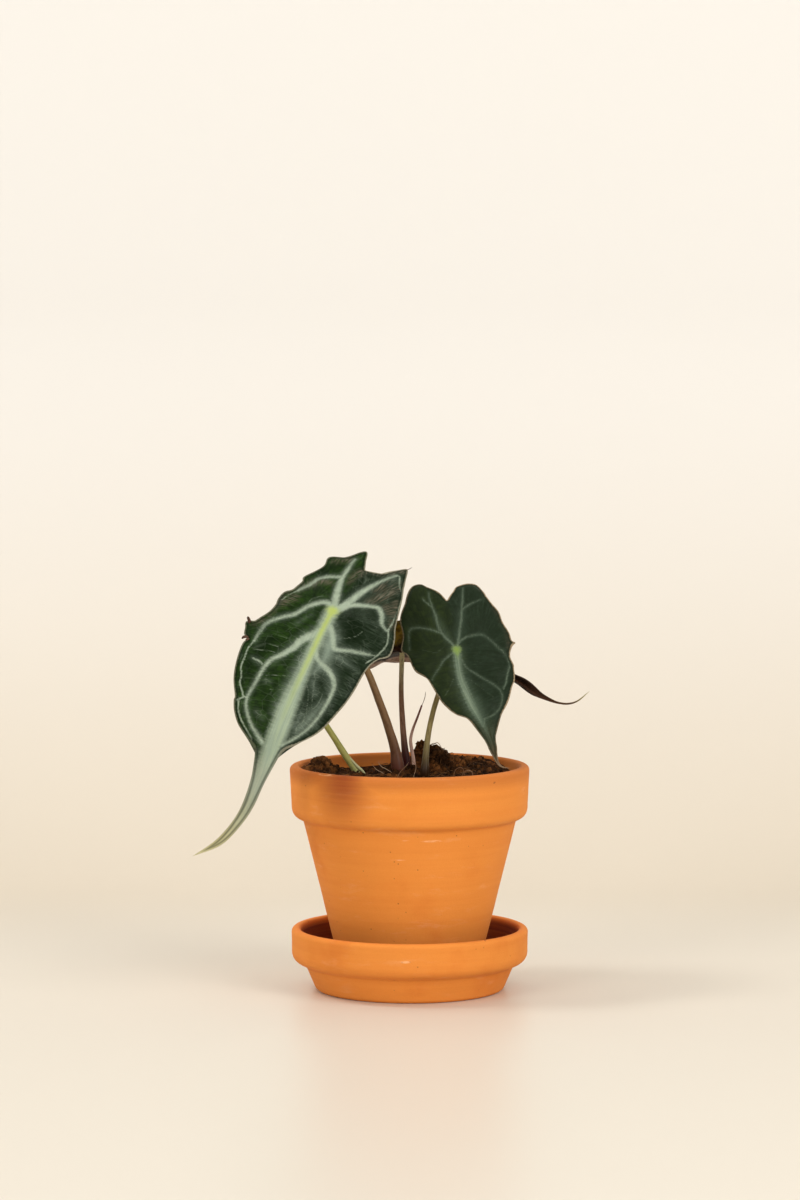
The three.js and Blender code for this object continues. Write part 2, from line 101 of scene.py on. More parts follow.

# Leaf blades. u runs along a leaf from the stalk's joint (0) to the drip tip, v across it, in mm, and
# v is negative on the left half. The spine is the midrib's route in space, joint the number of the
# point where the stalk meets it, and facing where the upper face looks, at the spine's start and end.
# folds are the degrees by which the left and right halves rise from the midrib, cup times v squared
# bends them, and wave is the margin's height, count and phase. left and right are the halves'
# outlines, with v above 0 on both. Veins, fine lines, haze, shade, dried patches and painted sheen,
# and threads are lines of (u, v, half width), fainter where that is negative. The mesh has that many
# steps along a leaf and rows from the midrib to each margin.
LEAVES = {
    "large": dict(
        spine=[(-9, 14, 163.5), (-16.5, 4, 157.5), (-28.5, -14, 143.5), (-37.5, -26, 126),
               (-43.5, -33, 113), (-49.5, -38, 98), (-54.5, -40, 83.5), (-60.5, -39.5, 71.5),
               (-69, -37, 61.5), (-80, -34, 54.5)],
        joint=2,
        facing=[(0.05, -0.8, 0.6), (-0.15, -0.9, 0.35)],
        folds=(6, 6),
        cup=-0.004,
        wave=(0.5, 9, 0.6),
        left=[(-25.5, 0), (-28.5, 2), (-33, 5), (-27, 8.5), (-21.5, 14), (-16, 13.5), (-8.5, 16.8),
              (-6, 16.2), (-3, 16.8), (-0.8, 17.6), (1, 19.8), (3.8, 20.6), (6, 20.4), (9.3, 21.3),
              (12.7, 23.4), (14.6, 24.8), (15, 26.6), (16, 27.8), (18, 27.2), (21, 26.5), (22.8, 24.4),
              (24.7, 25.3), (29.3, 25), (36, 24), (40.3, 22.6), (45.5, 19.8), (47, 19.6), (51, 17.8),
              (55.3, 14.4), (58.5, 9.4), (61, 5.8), (69, 4.2), (80, 2.6), (95, 1.4), (111.5, 0)],
        right=[(-25.5, 0), (-27.5, 6), (-31, 8), (-37.5, 11.5), (-29, 15.5), (-17, 20), (-5, 24), (2, 26.5),
               (9, 27.3), (13, 23.8), (19, 21.8), (31, 20.4), (38, 19), (47.5, 15), (54, 9.6), (58, 4.8),
               (63, 3.2), (73, 1.8), (89, 1.9), (100, 1.8), (111.5, 0)],
        midrib=[(-1, 0, 2.2), (5, 0, 2.1), (12, 0, 1.9), (20, 0.1, 1.8), (30, 0.4, 2.1), (38, 0.2, 2.8),
                (45, 0.2, 3.2), (53, 0.4, 3.4), (60, 0.1, 2.8), (70, 0, 2), (85, 0, 1.2), (111, 0, 0.2)],
        veins=[
            [(0, 0, 1.2), (-3.5, -1, 1.1), (-9.2, -3, 0.95), (-15, -4.7, 0.55), (-20.2, -5.2, 0.3),
             (-26.8, -5.8, 0)],
            [(-15.5, -5.5, 0.3), (-13.2, -9, 0.25), (-10, -12, 0.2), (-6.5, -13, 0.15), (-1.5, -15.5, 0)],
            [(0, 0, 1.3), (-4, 2.3, 1.2), (-8.5, 3.7, 1.05), (-13.8, 4.8, 0.85), (-19, 6.5, 0.5),
             (-25.2, 8.5, 0.15), (-30, 10.7, 0)],
            [(-2, 0, 1.1), (-2, -4, 0.7), (1.5, -8, 0.45), (6.8, -11.8, 0.35), (10, -16.2, 0.25),
             (13.8, -20, 0.2), (18.2, -21.2, 0.05), (22.7, -21.8, 0)],
            [(9, 0, 0.9), (13.5, -3.8, 1.1), (16.2, -5.8, 1), (19.8, -7, 0.85), (24, -9.4, 0.6),
             (27, -12.4, 0.45), (31, -13.8, 0.35), (37.2, -14.5, 0.2), (44.5, -15.3, 0.12),
             (49, -13.6, 0.1), (54, -9.5, 0.15), (58, -4, 0.4)],
            [(0, 0, 1.2), (-2, 2.2, 1), (-5.5, 4.5, 0.85), (-7.7, 8.2, 0.65), (-9.5, 11.8, 0.5),
             (-10, 14, 0.55), (-7.5, 16.8, 0.5), (-4, 18.6, 0.3), (-1.5, 21.7, 0)],
            [(6, 1, 0.8), (9, 4.2, 0.7), (13, 6.2, 0.6), (14.8, 7.8, 0.5), (13.8, 11.8, 0.4), (13, 16, 0.3),
             (12.2, 20.2, 0.1)],
            [(17, 0.6, 0.6), (21.2, 3.2, 0.55), (23, 6.5, 0.55), (25, 10.2, 0.5), (28.2, 13, 0.4),
             (32.5, 13.6, 0.35), (37.8, 13.3, 0.25), (42.5, 12.5, 0.15), (47.8, 10.5, 0.1), (52, 7.8, 0.1),
             (57, 3.5, 0.3)],
        ],
        fine=[
            [(22.7, -21.8, 0.1), (26.2, -22.5, 0.08), (31, -22, 0.1), (33.8, -22, 0.12),
             (37.5, -20.5, 0.08), (40.2, -20, 0.1), (42.8, -18, 0.08), (44.5, -16.8, 0.12),
             (44.5, -15.3, 0.12)],
            [(44.8, -16.5, 0.1), (46.7, -18.6, 0.12)],
            [(46.5, -17.8, 0.1), (50.5, -16.2, 0.08), (54.5, -12.6, 0.06), (58.2, -8, 0.04)],
            [(-30, 10.7, 0.1), (-30.8, 11.8, 0.1), (-26.2, 14.5, 0.06), (-21.5, 18.2, 0.05),
             (-15.2, 20, 0.04), (-7.2, 21.8, 0.06), (-2, 22.2, 0.1), (3.2, 24.2, 0.1), (7.2, 24.4, 0.08),
             (11.5, 23, 0.06), (16, 20.6, 0.06)],
            [(12.2, 20.2, 0.05), (11.6, 22.6, 0)],
            [(-1.5, -15.5, 0), (4, -19, -0.05)],
            [(29.2, -19.7, -0.1), (29.6, -18.2, 0.12), (29.6, -16.6, 0.15), (30.4, -14.8, 0)],
        ],
        haze=[
            [(6, -0.5, -0.4), (15, -1.2, 0.5), (22, -1.7, 0.5), (30, -2.2, 0.2), (38, -2.8, 0.4),
             (46, -3, 0.2)],
            [(5, 2.2, -0.2), (9, 3.4, 1.3), (13, 4.8, 2.4), (18, 5.6, 2.2), (22.5, 5.2, 1.4), (26.5, 4, 0)],
            [(30, 3, -1.4), (38, 3.2, -2), (46, 3.4, -2)],
            [(9, -0.5, 0.2), (13.5, -3.8, 0.7), (19.7, -7, 0.2), (25.5, -10.5, -0.8), (31, -13.6, -1.6)],
            [(14.8, 8, 0.6), (13.6, 12, -1), (12.6, 19, -2)],
            [(17.5, 9.5, 0.2), (19, 14, -1), (20, 18, -1.8)],
            [(22.5, 7, 0.5), (27, 12, 0), (32.5, 13, -0.5)],
            [(30, 5, -0.9), (35, 8, -1)],
            [(36, 12.4, -0.6), (41, 10.8, 0.2), (45.5, 9.2, 0.5), (50, 7, 0.2)],
            [(44, 6.2, -0.8), (49, 5.4, -0.5)],
            [(29.2, -19.6, -1.8), (29.8, -17.5, -1.2), (30.3, -15, -1.2)],
            [(36.2, -11.6, -1.7), (36, -9.6, -1.7)],
            [(48.5, -9.9, -1.6), (49.7, -6.9, -1.5)],
            [(61.5, -3, -0.8), (64.4, -2.4, -1)],
            [(5, -6, -2), (10, -9.5, -1.6)],
        ],
        shade=[
            [(0, 7, 1), (4, 10.5, 3.4), (9, 13, 1.6)],
            [(3, -3.6, -0.6), (7, -5, -0.6)],
            [(20, -16, 1), (27, -18.8, 1.2), (38, -18.6, 0.4)],
            [(-20, -8.5, 1), (-12, -12, 1.2)],
            [(-6, -9.5, 0.2), (-2, -9, 0.2)],
            [(37, 6.6, -0.8), (43, 6.6, -0.8)],
        ],
        # On the lobes these are painted sheen, light glancing off them; by the left margin, dried patches
        dry_and_sheen=[
            [(-1.5, -15.6, 1.4), (-6.2, -13.3, 1.8), (-9.3, -10.8, 1.8), (-10.8, -7.1, 1.4)],
            [(-20.5, -11, 1.5), (-25.6, -7.8, 1.7)],
            [(-15, -2, 1), (-20, -1.2, 1.7), (-24.8, 0.4, 1.5)],
            [(-26, 3.8, 1.5), (-28.5, 6.8, 1.5), (-32, 9.4, 1.8), (-36, 11.2, 1.8)],
            [(-10.6, 9.7, 1.6), (-17.9, 13.1, 2.6), (-26.6, 14.8, 1.8)],
            [(-17.6, 8.6, 1.4), (-25.7, 10.9, 1.4)],
            [(-11.3, 16.2, 2), (-11.1, 20.1, 2.4), (-15.2, 19, 2), (-4, 23, 1.6)],
            [(15.6, -24.4, 1.1), (12.3, -21.6, 1.5), (5.8, -20, 1.4), (-0.2, -17.2, 1.2)],
            [(5.1, -18, 1.5), (1.2, -14.9, 1.7)],
        ],
        threads=[
            [(22.9, -18.2, 0.06), (22.3, -15, 0.1), (22.1, -12.3, 0.04)],
            [(17.2, -15.2, 0.05), (17, -12.5, 0.08), (17.1, -10.7, 0.04)],
            [(26, -20.6, 0.05), (25, -16, 0.08), (24.6, -12.5, 0.04)],
            [(34.2, -12, 0.06), (32.6, -7.5, 0.1), (31.2, -3.5, 0.05)],
            [(38.9, -8.4, 0.06), (37.2, -4, 0.1)],
            [(10.1, 6.9, 0.12), (9.1, 10, 0.12), (7.2, 12.7, 0.08), (4, 14.3, 0.04)],
            [(14.5, 9, 0.1), (15.5, 14, 0.08), (15, 18, 0.04)],
            [(30.6, 2.8, 0.08), (34.9, 5.3, 0.1), (38.7, 6.6, 0.08), (43.6, 7.9, 0.06)],
            [(29.6, 5.6, 0.08), (34.3, 7, 0.1), (38.2, 8.1, 0.08), (43, 9.8, 0.06)],
            [(51.7, 7, 0.08), (48.6, 6.3, 0.1), (46.5, 7.8, 0.08), (44.3, 7.5, 0.05)],
            [(33, 10.5, 0.06), (38, 10.5, 0.08), (41, 9.3, 0.05)],
            [(-4, -6, 0.05), (-1, -9, 0.08), (2, -9.5, 0.04)],
            [(36.1, -12.2, 0.02), (35.8, -11, 0.12), (36.1, -9.8, 0.04)],
        ],
        steps=330,
        rows=54,
    ),
    "middle": dict(
        spine=[(13.5, 14, 153), (14, 7, 146), (17.5, -4, 128.5), (19, -10, 119), (22.5, -14, 111),
               (26.5, -17, 104), (29.7, -19, 96.5), (31.4, -19.6, 90.8), (32.6, -20, 87.6), (34.3, -20, 86),
               (37.8, -20, 85.4)],
        joint=2,
        facing=[(0.05, -0.85, 0.5), (0.2, -0.9, 0.3)],
        folds=(4, 4),
        cup=-0.004,
        wave=(0.5, 7, 2.1),
        left=[(-20.7, 0), (-24, 3), (-26.2, 7), (-27.5, 9.7), (-25, 13.5), (-18, 17.5), (-13.5, 19.1),
              (-8.5, 19), (-2.5, 20.8), (1, 19), (7.5, 16.7), (11, 12.6), (20, 10.1), (24.7, 7.8), (28, 5),
              (38, 2.3), (42, 1.6), (45, 0.9), (47.5, 0.5), (53, 0)],
        right=[(-20.7, 0), (-24, 2.7), (-27.2, 4.3), (-29, 9), (-27.2, 13), (-17.8, 16), (-13, 18.7),
               (-9, 19.4), (-4.5, 20.9), (-1.4, 21.3), (-0.4, 22.7), (0.7, 21), (3, 19.9), (7, 20.7),
               (14.5, 20.4), (20, 19), (27, 13.7), (31.7, 7.2), (37.7, 2.5), (42, 1.6), (45, 0.9),
               (47.5, 0.5), (53, 0)],
        midrib=[(0, 0, 1.1), (3, -0.2, 0.9), (8, -0.3, 0.8), (14, -0.4, 0.85), (20, -0.7, 0.95),
                (25, -1, 0.85), (29, -0.9, 0.4), (34, -0.4, 0), (40, 0, -0.2), (52, 0, -0.4)],
        veins=[
            [(0, 0, 0.48), (-3, -1.5, 0.43), (-6, -3.5, 0.38), (-9.5, -5, 0.33), (-14.5, -5.5, 0.23),
             (-18, -6, 0.13), (-21, -6.5, 0.05), (-23.5, -6.5, -0.1)],
            [(-17.5, -6, 0.1), (-21.5, -9, -0.05)],
            [(0, 0, 0.38), (-3, 1, 0.33), (-7.5, 2.5, 0.28), (-12, 4, 0.28), (-16, 5, 0.18), (-21, 6, 0.1),
             (-26, 6.5, -0.05)],
            [(-15.5, 5, 0.08), (-17.5, 8.5, 0.07), (-19, 12.5, -0.05)],
            [(-7.5, -4.5, 0.18), (-9, -7.5, 0.1), (-10, -10.5, 0.06), (-10.5, -13, 0.07), (-10, -16, 0.03),
             (-6.5, -17, -0.05), (-2, -17.5, -0.15)],
            [(1, -1, 0.08), (2, -3, 0.1), (4, -5.5, 0.05), (6.5, -7, 0), (9, -9, -0.05), (11, -11, -0.15)],
            [(-1, 0.5, 0.28), (-3, 1.5, 0.23), (-4.5, 4, 0.18), (-5, 7, 0.13), (-5, 10.5, 0.1),
             (-3.5, 12.5, 0.06), (-1.5, 14, 0.07), (0.5, 15.5, 0.03), (2, 17.5, -0.05), (4.5, 19, -0.05),
             (9.5, 19, -0.1), (16, 17.5, -0.05), (20.5, 15, -0.05), (22.5, 13, -0.05)],
            [(3, 0.5, 0.13), (4, 1.5, 0.08), (8, 3, 0.06), (11.5, 5.5, 0.1), (15.5, 8, 0.07),
             (19.5, 10.5, 0.07), (22.5, 11.5, 0.03), (26, 11, -0.05), (29, 8, -0.05), (30.5, 4, 0),
             (30.5, 1, 0.05)],
        ],
        haze=[
            [(0, 0, 0.8), (5, 0, 0.9), (12, 0, 1), (18, -0.3, 1.6), (24, -0.4, 1.9), (30, -0.4, 1.2),
             (36, 0, -0.2)],
            [(16, -2.5, -1), (24, -3, -1)],
            [(-4, -2, -0.6), (-14, -5.4, -1)],
            [(-2, 0.6, -0.6), (-15, 5, -1)],
        ],
        shade=[[(-14, -1, -1), (-8, -1.2, -0.6)], [(5, 8, -1), (12, 11, -1)]],
        dry_and_sheen=[
            [(30, -3.6, 0.8), (38, -2, 1), (46, -0.8, 0.9), (52, 0, 0.9)],
            [(9, -16, 0.7), (22, -9, 0.8)],
            [(-24, 14, 0.7), (-8, 19.6, 0.8), (4, 20, 0.7)],
        ],
        fine=[
            [(9.5, 19, 0.02), (14, 18.6, 0), (20.5, 15, 0), (23.5, 12.8, 0)],
            [(30.5, 1, 0), (33, -0.6, 0)],
        ],
        threads=[
            [(-2, -4, 0.03), (1, -8, 0.05), (-1, -13, 0)],
            [(5, 6, 0.03), (8, 12, 0.04), (14, 15, 0)],
            [(12, -3, 0.03), (15, -6, 0.04), (17, -9, 0)],
            [(14, 3, 0.03), (20, 6, 0.05), (25, 8, 0)],
        ],
        steps=220,
        rows=42,
    ),
    "back": dict(
        spine=[(-27, 9, 119), (-16, 13.5, 124), (-2.9, 18, 126.5), (12, 25, 124.5), (27, 32, 119.5),
               (41, 38, 112.8), (50, 41, 106.7), (58, 43, 103.4), (64, 44, 103.9), (69.5, 45, 108)],
        joint=2,
        facing=[(0.05, 0.6, 0.8), (0.05, 0.6, 0.8)],
        folds=(9, 16),
        cup=-0.002,
        wave=(0.6, 7, 0),
        left=BACK_HALF,
        right=BACK_HALF,
        midrib=[(0, 0, 1.2), (14, 0, 1.1), (30, 0, 1), (45, 0, 0.7), (60, 0, 0.4), (83, 0, 0.1)],
        veins=[[(u, hand * v, width) for u, v, width in line] for hand in (-1, 1) for line in (
            [(0, 0, 0.8), (-6, 2.5, 0.7), (-12, 4.5, 0.55), (-18, 6, 0.4), (-22, 7.5, 0.2)],
            [(-12, 4.5, 0.4), (-14, 9, 0.3), (-13, 13, 0.2)],
            [(-1, 0.5, 0.5), (-4, 5, 0.45), (-4.5, 10, 0.4), (-1, 14.5, 0.3), (5, 16.5, 0.25),
             (13, 15.5, 0.2)],
            [(6, 0, 0.5), (9, 4, 0.4), (14, 8, 0.35), (20, 11, 0.3), (26, 10.5, 0.25)],
            [(16, 0, 0.4), (21, 3.5, 0.35), (27, 6.5, 0.3), (34, 7, 0.2)],
        )],
        haze=[[(0, 0, 0.6), (20, 0, 0.6), (40, 0, 0)]],
        shade=[],
        dry_and_sheen=[[(-20, 12, 0.8), (0, 19, 0.8)]],
        fine=[[(13, 15.5, 0), (26, 10.5, 0)]],
        threads=[[(3, 6, 0), (8, 10, 0)]],
        steps=170,
        rows=30,
    ),
    "small": dict(
        spine=[(-42, 3, 131), (-45, 9, 126.5), (-48, 14, 120), (-52, 23, 109), (-55, 31, 100), (-57, 36, 93)],
        joint=2,
        facing=[(-0.45, 0.55, 0.7), (-0.45, 0.55, 0.7)],
        folds=(8, 8),
        cup=-0.006,
        wave=(0.3, 6, 1),
        left=SMALL_HALF,
        right=SMALL_HALF,
        midrib=[(0, 0, 0.8), (10, 0, 0.7), (20, 0, 0.5), (33, 0, 0.1)],
        veins=[[(u, hand * v, width) for u, v, width in line] for hand in (-1, 1) for line in (
            [(0, 0, 0.5), (-4, 2, 0.45), (-8, 3.5, 0.35), (-11, 4.5, 0.15)],
            [(-0.5, 0.5, 0.35), (-1.5, 4, 0.3), (1, 7.5, 0.2), (5, 8.5, 0.15)],
            [(4, 0, 0.3), (7, 3, 0.25), (12, 5, 0.15)],
        )],
        haze=[[(0, 0, 0), (10, 0, -0.4)]],
        shade=[],
        dry_and_sheen=[[(30, 0, 0.6), (34, 0, 0.6)]],
        fine=[[(5, 8.5, 0), (12, 5, 0)]],
        threads=[[(3, 3, 0), (6, 5, 0)]],
        steps=110,
        rows=20,
    ),
}

# Stalks and shoot: each point is (x, y, z, radius), from the corm up
STALKS = {
    "large": [(-1, -1.4, 64, 1.6), (-3, -1.8, 76, 2), (-4.4, -2, 83.5, 2.6), (-5.4, -2, 90, 1.9),
              (-7.7, -2.3, 98, 1.6), (-11.5, -3, 109, 1.45), (-15.8, -4, 120, 1.3), (-21.8, -8, 132.5, 1.2),
              (-28.4, -13.6, 143.2, 1.3)],
    "back": [(-1.4, 3, 63, 1.2), (-1.2, 3, 78, 1.4), (-1.2, 3, 84, 1.6), (-2, 4.2, 92, 1.25),
             (-2.6, 6.2, 99, 1.1), (-3.1, 9.5, 108, 1), (-3.1, 14, 116.5, 0.9), (-2.8, 18, 126, 0.95)],
    "middle": [(3, -4.5, 62, 1.2), (4.6, -8.5, 76, 1.4), (5.6, -10.8, 83, 1.6), (5.9, -9.4, 88, 1.25),
               (6.7, -6.8, 95, 1.05), (8.1, -3.8, 102, 1), (10.4, -0.4, 110, 1), (14, 0.6, 120, 0.95),
               (17.3, -3.4, 128.3, 1)],
    "small": [(-6.5, 1.5, 62, 1), (-14, 3.2, 73, 1.2), (-20.3, 5, 82, 1.5), (-24, 6, 87, 1.3),
              (-29.5, 7.5, 95.5, 1.18), (-37, 10, 106.5, 1.05), (-43.6, 12.6, 114.8, 0.9),
              (-47.9, 14, 120, 0.9)],
}
SHOOT = [(2.2, 4.6, 63, 0.8), (2, 5.6, 78, 0.85), (1.5, 5.7, 85, 0.72), (0.7, 5.5, 90, 0.66),
         (0.4, 5.2, 93.5, 0.6), (1.3, 4.9, 97.5, 0.5), (3, 4.6, 102, 0.42), (4.7, 4.4, 106.7, 0.32)]

# Camera, in mm and degrees: a long lens, level with a point well above the plant, tilted down
CAMERA_PLACE = (-3.62, -1500, 256)
CAMERA_TILT = 4.18
CAMERA_LENS, CAMERA_SENSOR = 120.7, 36

# Soft square lamps, all aimed at the plant's middle: name, place and sides in metres, watts
LAMP_TARGET = (0, 0, 0.1)
LAMP_COLOUR = (1, 0.985, 0.96)
LAMPS = [
    ("right box", (0.95, -1.15, 0.66), (0.7, 0.8), 11.4),
    ("upper right box", (0.85, -0.65, 1.35), (0.6, 0.6), 4.5),
    ("left box", (-1.0, -1.2, 0.68), (0.6, 0.6), 7.2),
    ("upper left box", (-1.0, 0.0, 1.55), (0.45, 0.45), 10.5),
    ("front box", (0.1, -1.7, 0.9), (0.8, 0.8), 1.5),
    ("top box", (0, -0.1, 1.7), (1.0, 1.0), 2),
]

# Strength of the studio around it, as a light and as the camera sees it
STUDIO_LIGHT, STUDIO_SEEN = 0.39, 0.9


# Numbers and curves

def smoothstep(low, high, value):
    """Rises smoothly from 0 at low to 1 at high: 3 s squared - 2 s cubed, s being the share of the way."""
    share = np.clip((value - low) / (high - low), 0, 1)
    return share * share * (3 - 2 * share)


def unit(vectors):
    """Every vector divided by its length."""
    return vectors / np.linalg.norm(vectors, axis=-1, keepdims=True)


def straight(value, low, high, at_low, at_high):
    """The height at value of the straight line from at_low at low to at_high at high."""
    return at_low + (value - low) * (at_high - at_low) / (high - low)


def turns(count):
    """Angles at even steps once round, from 0."""
    return np.linspace(0, 2 * np.pi, count, endpoint=False)


def round_places(radius, angle, height):
    """Places at a radius, angle and height round the upright axis, from arrays that broadcast."""
    return np.stack(np.broadcast_arrays(radius * np.cos(angle), radius * np.sin(angle), height), axis=-1)


def lattice_noise(places, cell, seed):
    """Value noise from -1 to 1: random numbers on a lattice of that cell, blended smoothly between them."""
    size = 32
    table = np.random.default_rng(seed).uniform(-1, 1, (size,) * places.shape[-1])
    scaled = places / cell
    low = np.floor(scaled).astype(int)
    share = scaled - low
    share = share * share * (3 - 2 * share)
    total = np.zeros(places.shape[:-1])
    for corner in itertools.product((0, 1), repeat=places.shape[-1]):
        weight = np.where(np.array(corner, bool), share, 1 - share).prod(axis=-1)
        index = np.moveaxis((low + corner) % size, -1, 0)
        total += weight * table[tuple(index)]
    return total


def smooth_route(points, at, reflected=True):
    """Points and directions on a Catmull-Rom curve, at positions counted in points from the first.

    Between two points the curve is the cubic that leaves each with half the step from its neighbour
    before to its neighbour after. Past its ends the route goes on as its end step, or stands still."""
    points = np.asarray(points, float)
    first = 2 * points[0] - points[1] if reflected else points[0]
    last = 2 * points[-1] - points[-2] if reflected else points[-1]
    padded = np.vstack([first, points, last])
    low = np.clip(np.floor(at).astype(int), 0, len(points) - 2)
    share = (at - low)[..., None]
    before, start, end, after = (padded[low + k] for k in range(4))
    leave, arrive = (end - before) / 2, (after - start) / 2
    cubic = 2 * start - 2 * end + leave + arrive
    square = -3 * start + 3 * end - 2 * leave - arrive
    place = ((cubic * share + square) * share + leave) * share + start
    direction = (3 * cubic * share + 2 * square) * share + leave
    return place, direction


def reach_along(points):
    """How far each point is from the first, along the straight steps between them."""
    return np.concatenate([[0], np.cumsum(np.linalg.norm(np.diff(points, axis=0), axis=1))])


def at_reach(points, wanted):
    """Places that far along the straight steps between points."""
    reach = reach_along(points)
    return np.stack([np.interp(wanted, reach, column) for column in points.T], axis=-1)


def even_along(points, count):
    """count places at even lengths along the smooth curve through the points."""
    dense, _ = smooth_route(points, np.linspace(0, len(points) - 1, 40 * len(points)), reflected=False)
    return at_reach(dense, np.linspace(0, reach_along(dense)[-1], count))


def circles(side, other, count):
    """A circle of that many points and radius 1 for each pair of directions that it lies in."""
    turn = turns(count)[:, None]
    return side[:, None] * np.cos(turn) + other[:, None] * np.sin(turn)


# Meshes

def closed_skin(rings, start=None, end=None):
    """Vertices and faces of a tube through rings of points, shaped (rings, points, 3).

    With a start and an end point its ends are closed with fans, and without them the last ring
    joins the first. The faces are turned outwards by the sign of the enclosed volume."""
    count, around = rings.shape[:2]
    number = np.arange(count * around).reshape(count, around)
    ahead = np.roll(number, -1, axis=1)
    if start is None:
        low, high = number, np.roll(number, -1, axis=0)
        low_ahead, high_ahead = ahead, np.roll(ahead, -1, axis=0)
    else:
        low, high, low_ahead, high_ahead = number[:-1], number[1:], ahead[:-1], ahead[1:]
    quads = np.stack([low, low_ahead, high_ahead, high], axis=-1).reshape(-1, 4)
    points = rings.reshape(-1, 3)
    fans = np.zeros((0, 3), int)
    if start is not None:
        points = np.vstack([points, start, end])
        pole = np.full(around, count * around)
        fans = np.vstack([
            np.stack([pole, ahead[0], number[0]], axis=-1),
            np.stack([pole + 1, number[-1], ahead[-1]], axis=-1),
        ])
    triangles = np.vstack([quads[:, [0, 1, 2]], quads[:, [0, 2, 3]], fans])
    a, b, c = (points[triangles[:, k]] for k in range(3))
    if np.einsum("ij,ij->", a, np.cross(b, c)) < 0:
        quads, fans = quads[:, ::-1], fans[:, ::-1]
    return points, quads, fans


def smooth_mesh(name, points, faces, finish):
    """A smooth-shaded mesh of points in mm, with its material."""
    mesh = bpy.data.meshes.new(name)
    mesh.from_pydata((points * MM).tolist(), [], faces, shade_flat=False)
    mesh.materials.append(finish)
    return mesh


def in_scene(name, data):
    """A new object of a mesh, lamp or camera, linked to the scene."""
    made = bpy.data.objects.new(name, data)
    bpy.context.scene.collection.objects.link(made)
    return made


def add_piece(name, skins, finish, stands_for=None, values=None):
    """One object at the origin from skins of (points, quads, fans) in mm, riding on the root.

    values are the points' own attributes, as numbers or as vectors."""
    points = np.vstack([skin[0] for skin in skins])
    starts = np.cumsum([0] + [len(skin[0]) for skin in skins[:-1]])
    quads, fans = (np.vstack([skin[k] + start for skin, start in zip(skins, starts)]) for k in (1, 2))
    mesh = smooth_mesh(name, points, quads.tolist() + fans.tolist(), finish)
    for key, numbers in (values or {}).items():
        kind, field = ("FLOAT", "value") if numbers.ndim == 1 else ("FLOAT_VECTOR", "vector")
        mesh.attributes.new(key, kind, "POINT").data.foreach_set(field, numbers.astype(np.float32).ravel())
    piece = in_scene(name, mesh)
    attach(piece, "root")
    if stands_for:
        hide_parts(stands_for)


# Clay

def rounded_profile(corners):
    """A profile as (radius, height) places about a step of the clay apart.

    Each corner is rounded with a parabola that starts and ends its rounding away from it. A profile
    that starts off the axis is closed."""
    closed = corners[0][0] > 0
    places = np.array([corner[:2] for corner in corners], float)
    pieces = []
    for i, (_, _, rounding) in enumerate(corners):
        corner = places[i]
        before, after = places[i - 1] - corner, places[(i + 1) % len(places)] - corner
        begin = corner + rounding * unit(before)
        finish = corner + rounding * unit(after)
        share = np.linspace(0, 1, 9 if rounding > 0 else 1)[:, None]
        pieces.append((1 - share) ** 2 * begin + 2 * share * (1 - share) * corner + share ** 2 * finish)
    path = np.vstack(pieces + ([pieces[0][:1]] if closed else []))
    reach = reach_along(path)
    wanted = np.union1d(np.arange(0, reach[-1], CLAY_STEP), reach)
    wanted = wanted[np.concatenate([[True], np.diff(wanted) > 0.12])]
    if closed:
        wanted = wanted[wanted < reach[-1] - 0.05]
    return at_reach(path, wanted)


def turned_clay(corners, seed):
    """A wheel-turned wall: the profile carried round the axis, with the wheel's rings and small dents.

    The radius changes with noise of the height alone, which gives level rings, with an oval of the
    whole turn, and with noise of the place, which gives shallow dents and open pores."""
    profile = rounded_profile(corners)
    angle = turns(CLAY_SIDES)
    radius, height = profile[:, :1], profile[:, 1:]
    level = np.concatenate([height, np.zeros_like(height)], axis=1)
    rings = 0.02 * lattice_noise(level, 1.3, seed) + 0.025 * lattice_noise(level, 4.7, seed + 1)
    places = round_places(radius, angle, height)
    dents = 0.07 * lattice_noise(places, 14, seed + 2) + 0.025 * lattice_noise(places, 2.2, seed + 3)
    pores = 0.16 * smoothstep(0.72, 0.9, lattice_noise(places, 0.9, seed + 4))
    oval = 0.12 * np.cos(2 * angle + seed)
    steady = smoothstep(0, 12, radius)
    change = (rings[:, None] + dents - pores + oval) * steady
    return places + change[..., None] * round_places(1, angle, 0)


# Soil

def pot_inner_radius(z):
    """Radius of the pot's inner wall: a steeper cone under the neck, a gentler one in the band."""
    lower = straight(z, POT_INNER_FLOOR, POT_NECK, POT_INNER_FOOT, POT_INNER_NECK)
    upper = straight(z, POT_NECK, POT_TOP, POT_INNER_NECK, POT_INNER_RIM)
    return np.where(z > POT_NECK, upper, lower)


def soil_height(x, y):
    """The soil's top: its level and a bell for each lump, lower where the lump leans on the wall."""
    share = np.hypot(x, y) / pot_inner_radius(SOIL_LEVEL)
    heaped = sum(peak * np.exp(-((x - cx) ** 2 + (y - cy) ** 2) / spread ** 2)
                 for cx, cy, peak, spread in LUMPS)
    height = SOIL_LEVEL + heaped * (1 - SOIL_WALL_LOSS * share ** 12)
    return np.where(share > 0.99, np.minimum(height, SOIL_HIGHEST_AT_WALL), height)


def soil_crumb(x, y):
    """Crumbly relief: the size of noise at four scales, so that round clods meet in sharp creases."""
    place = np.stack([x, y], axis=-1)
    return sum(height * (np.abs(lattice_noise(place, size, seed)) - 0.35)
               for size, height, seed in CRUMB_RELIEF)


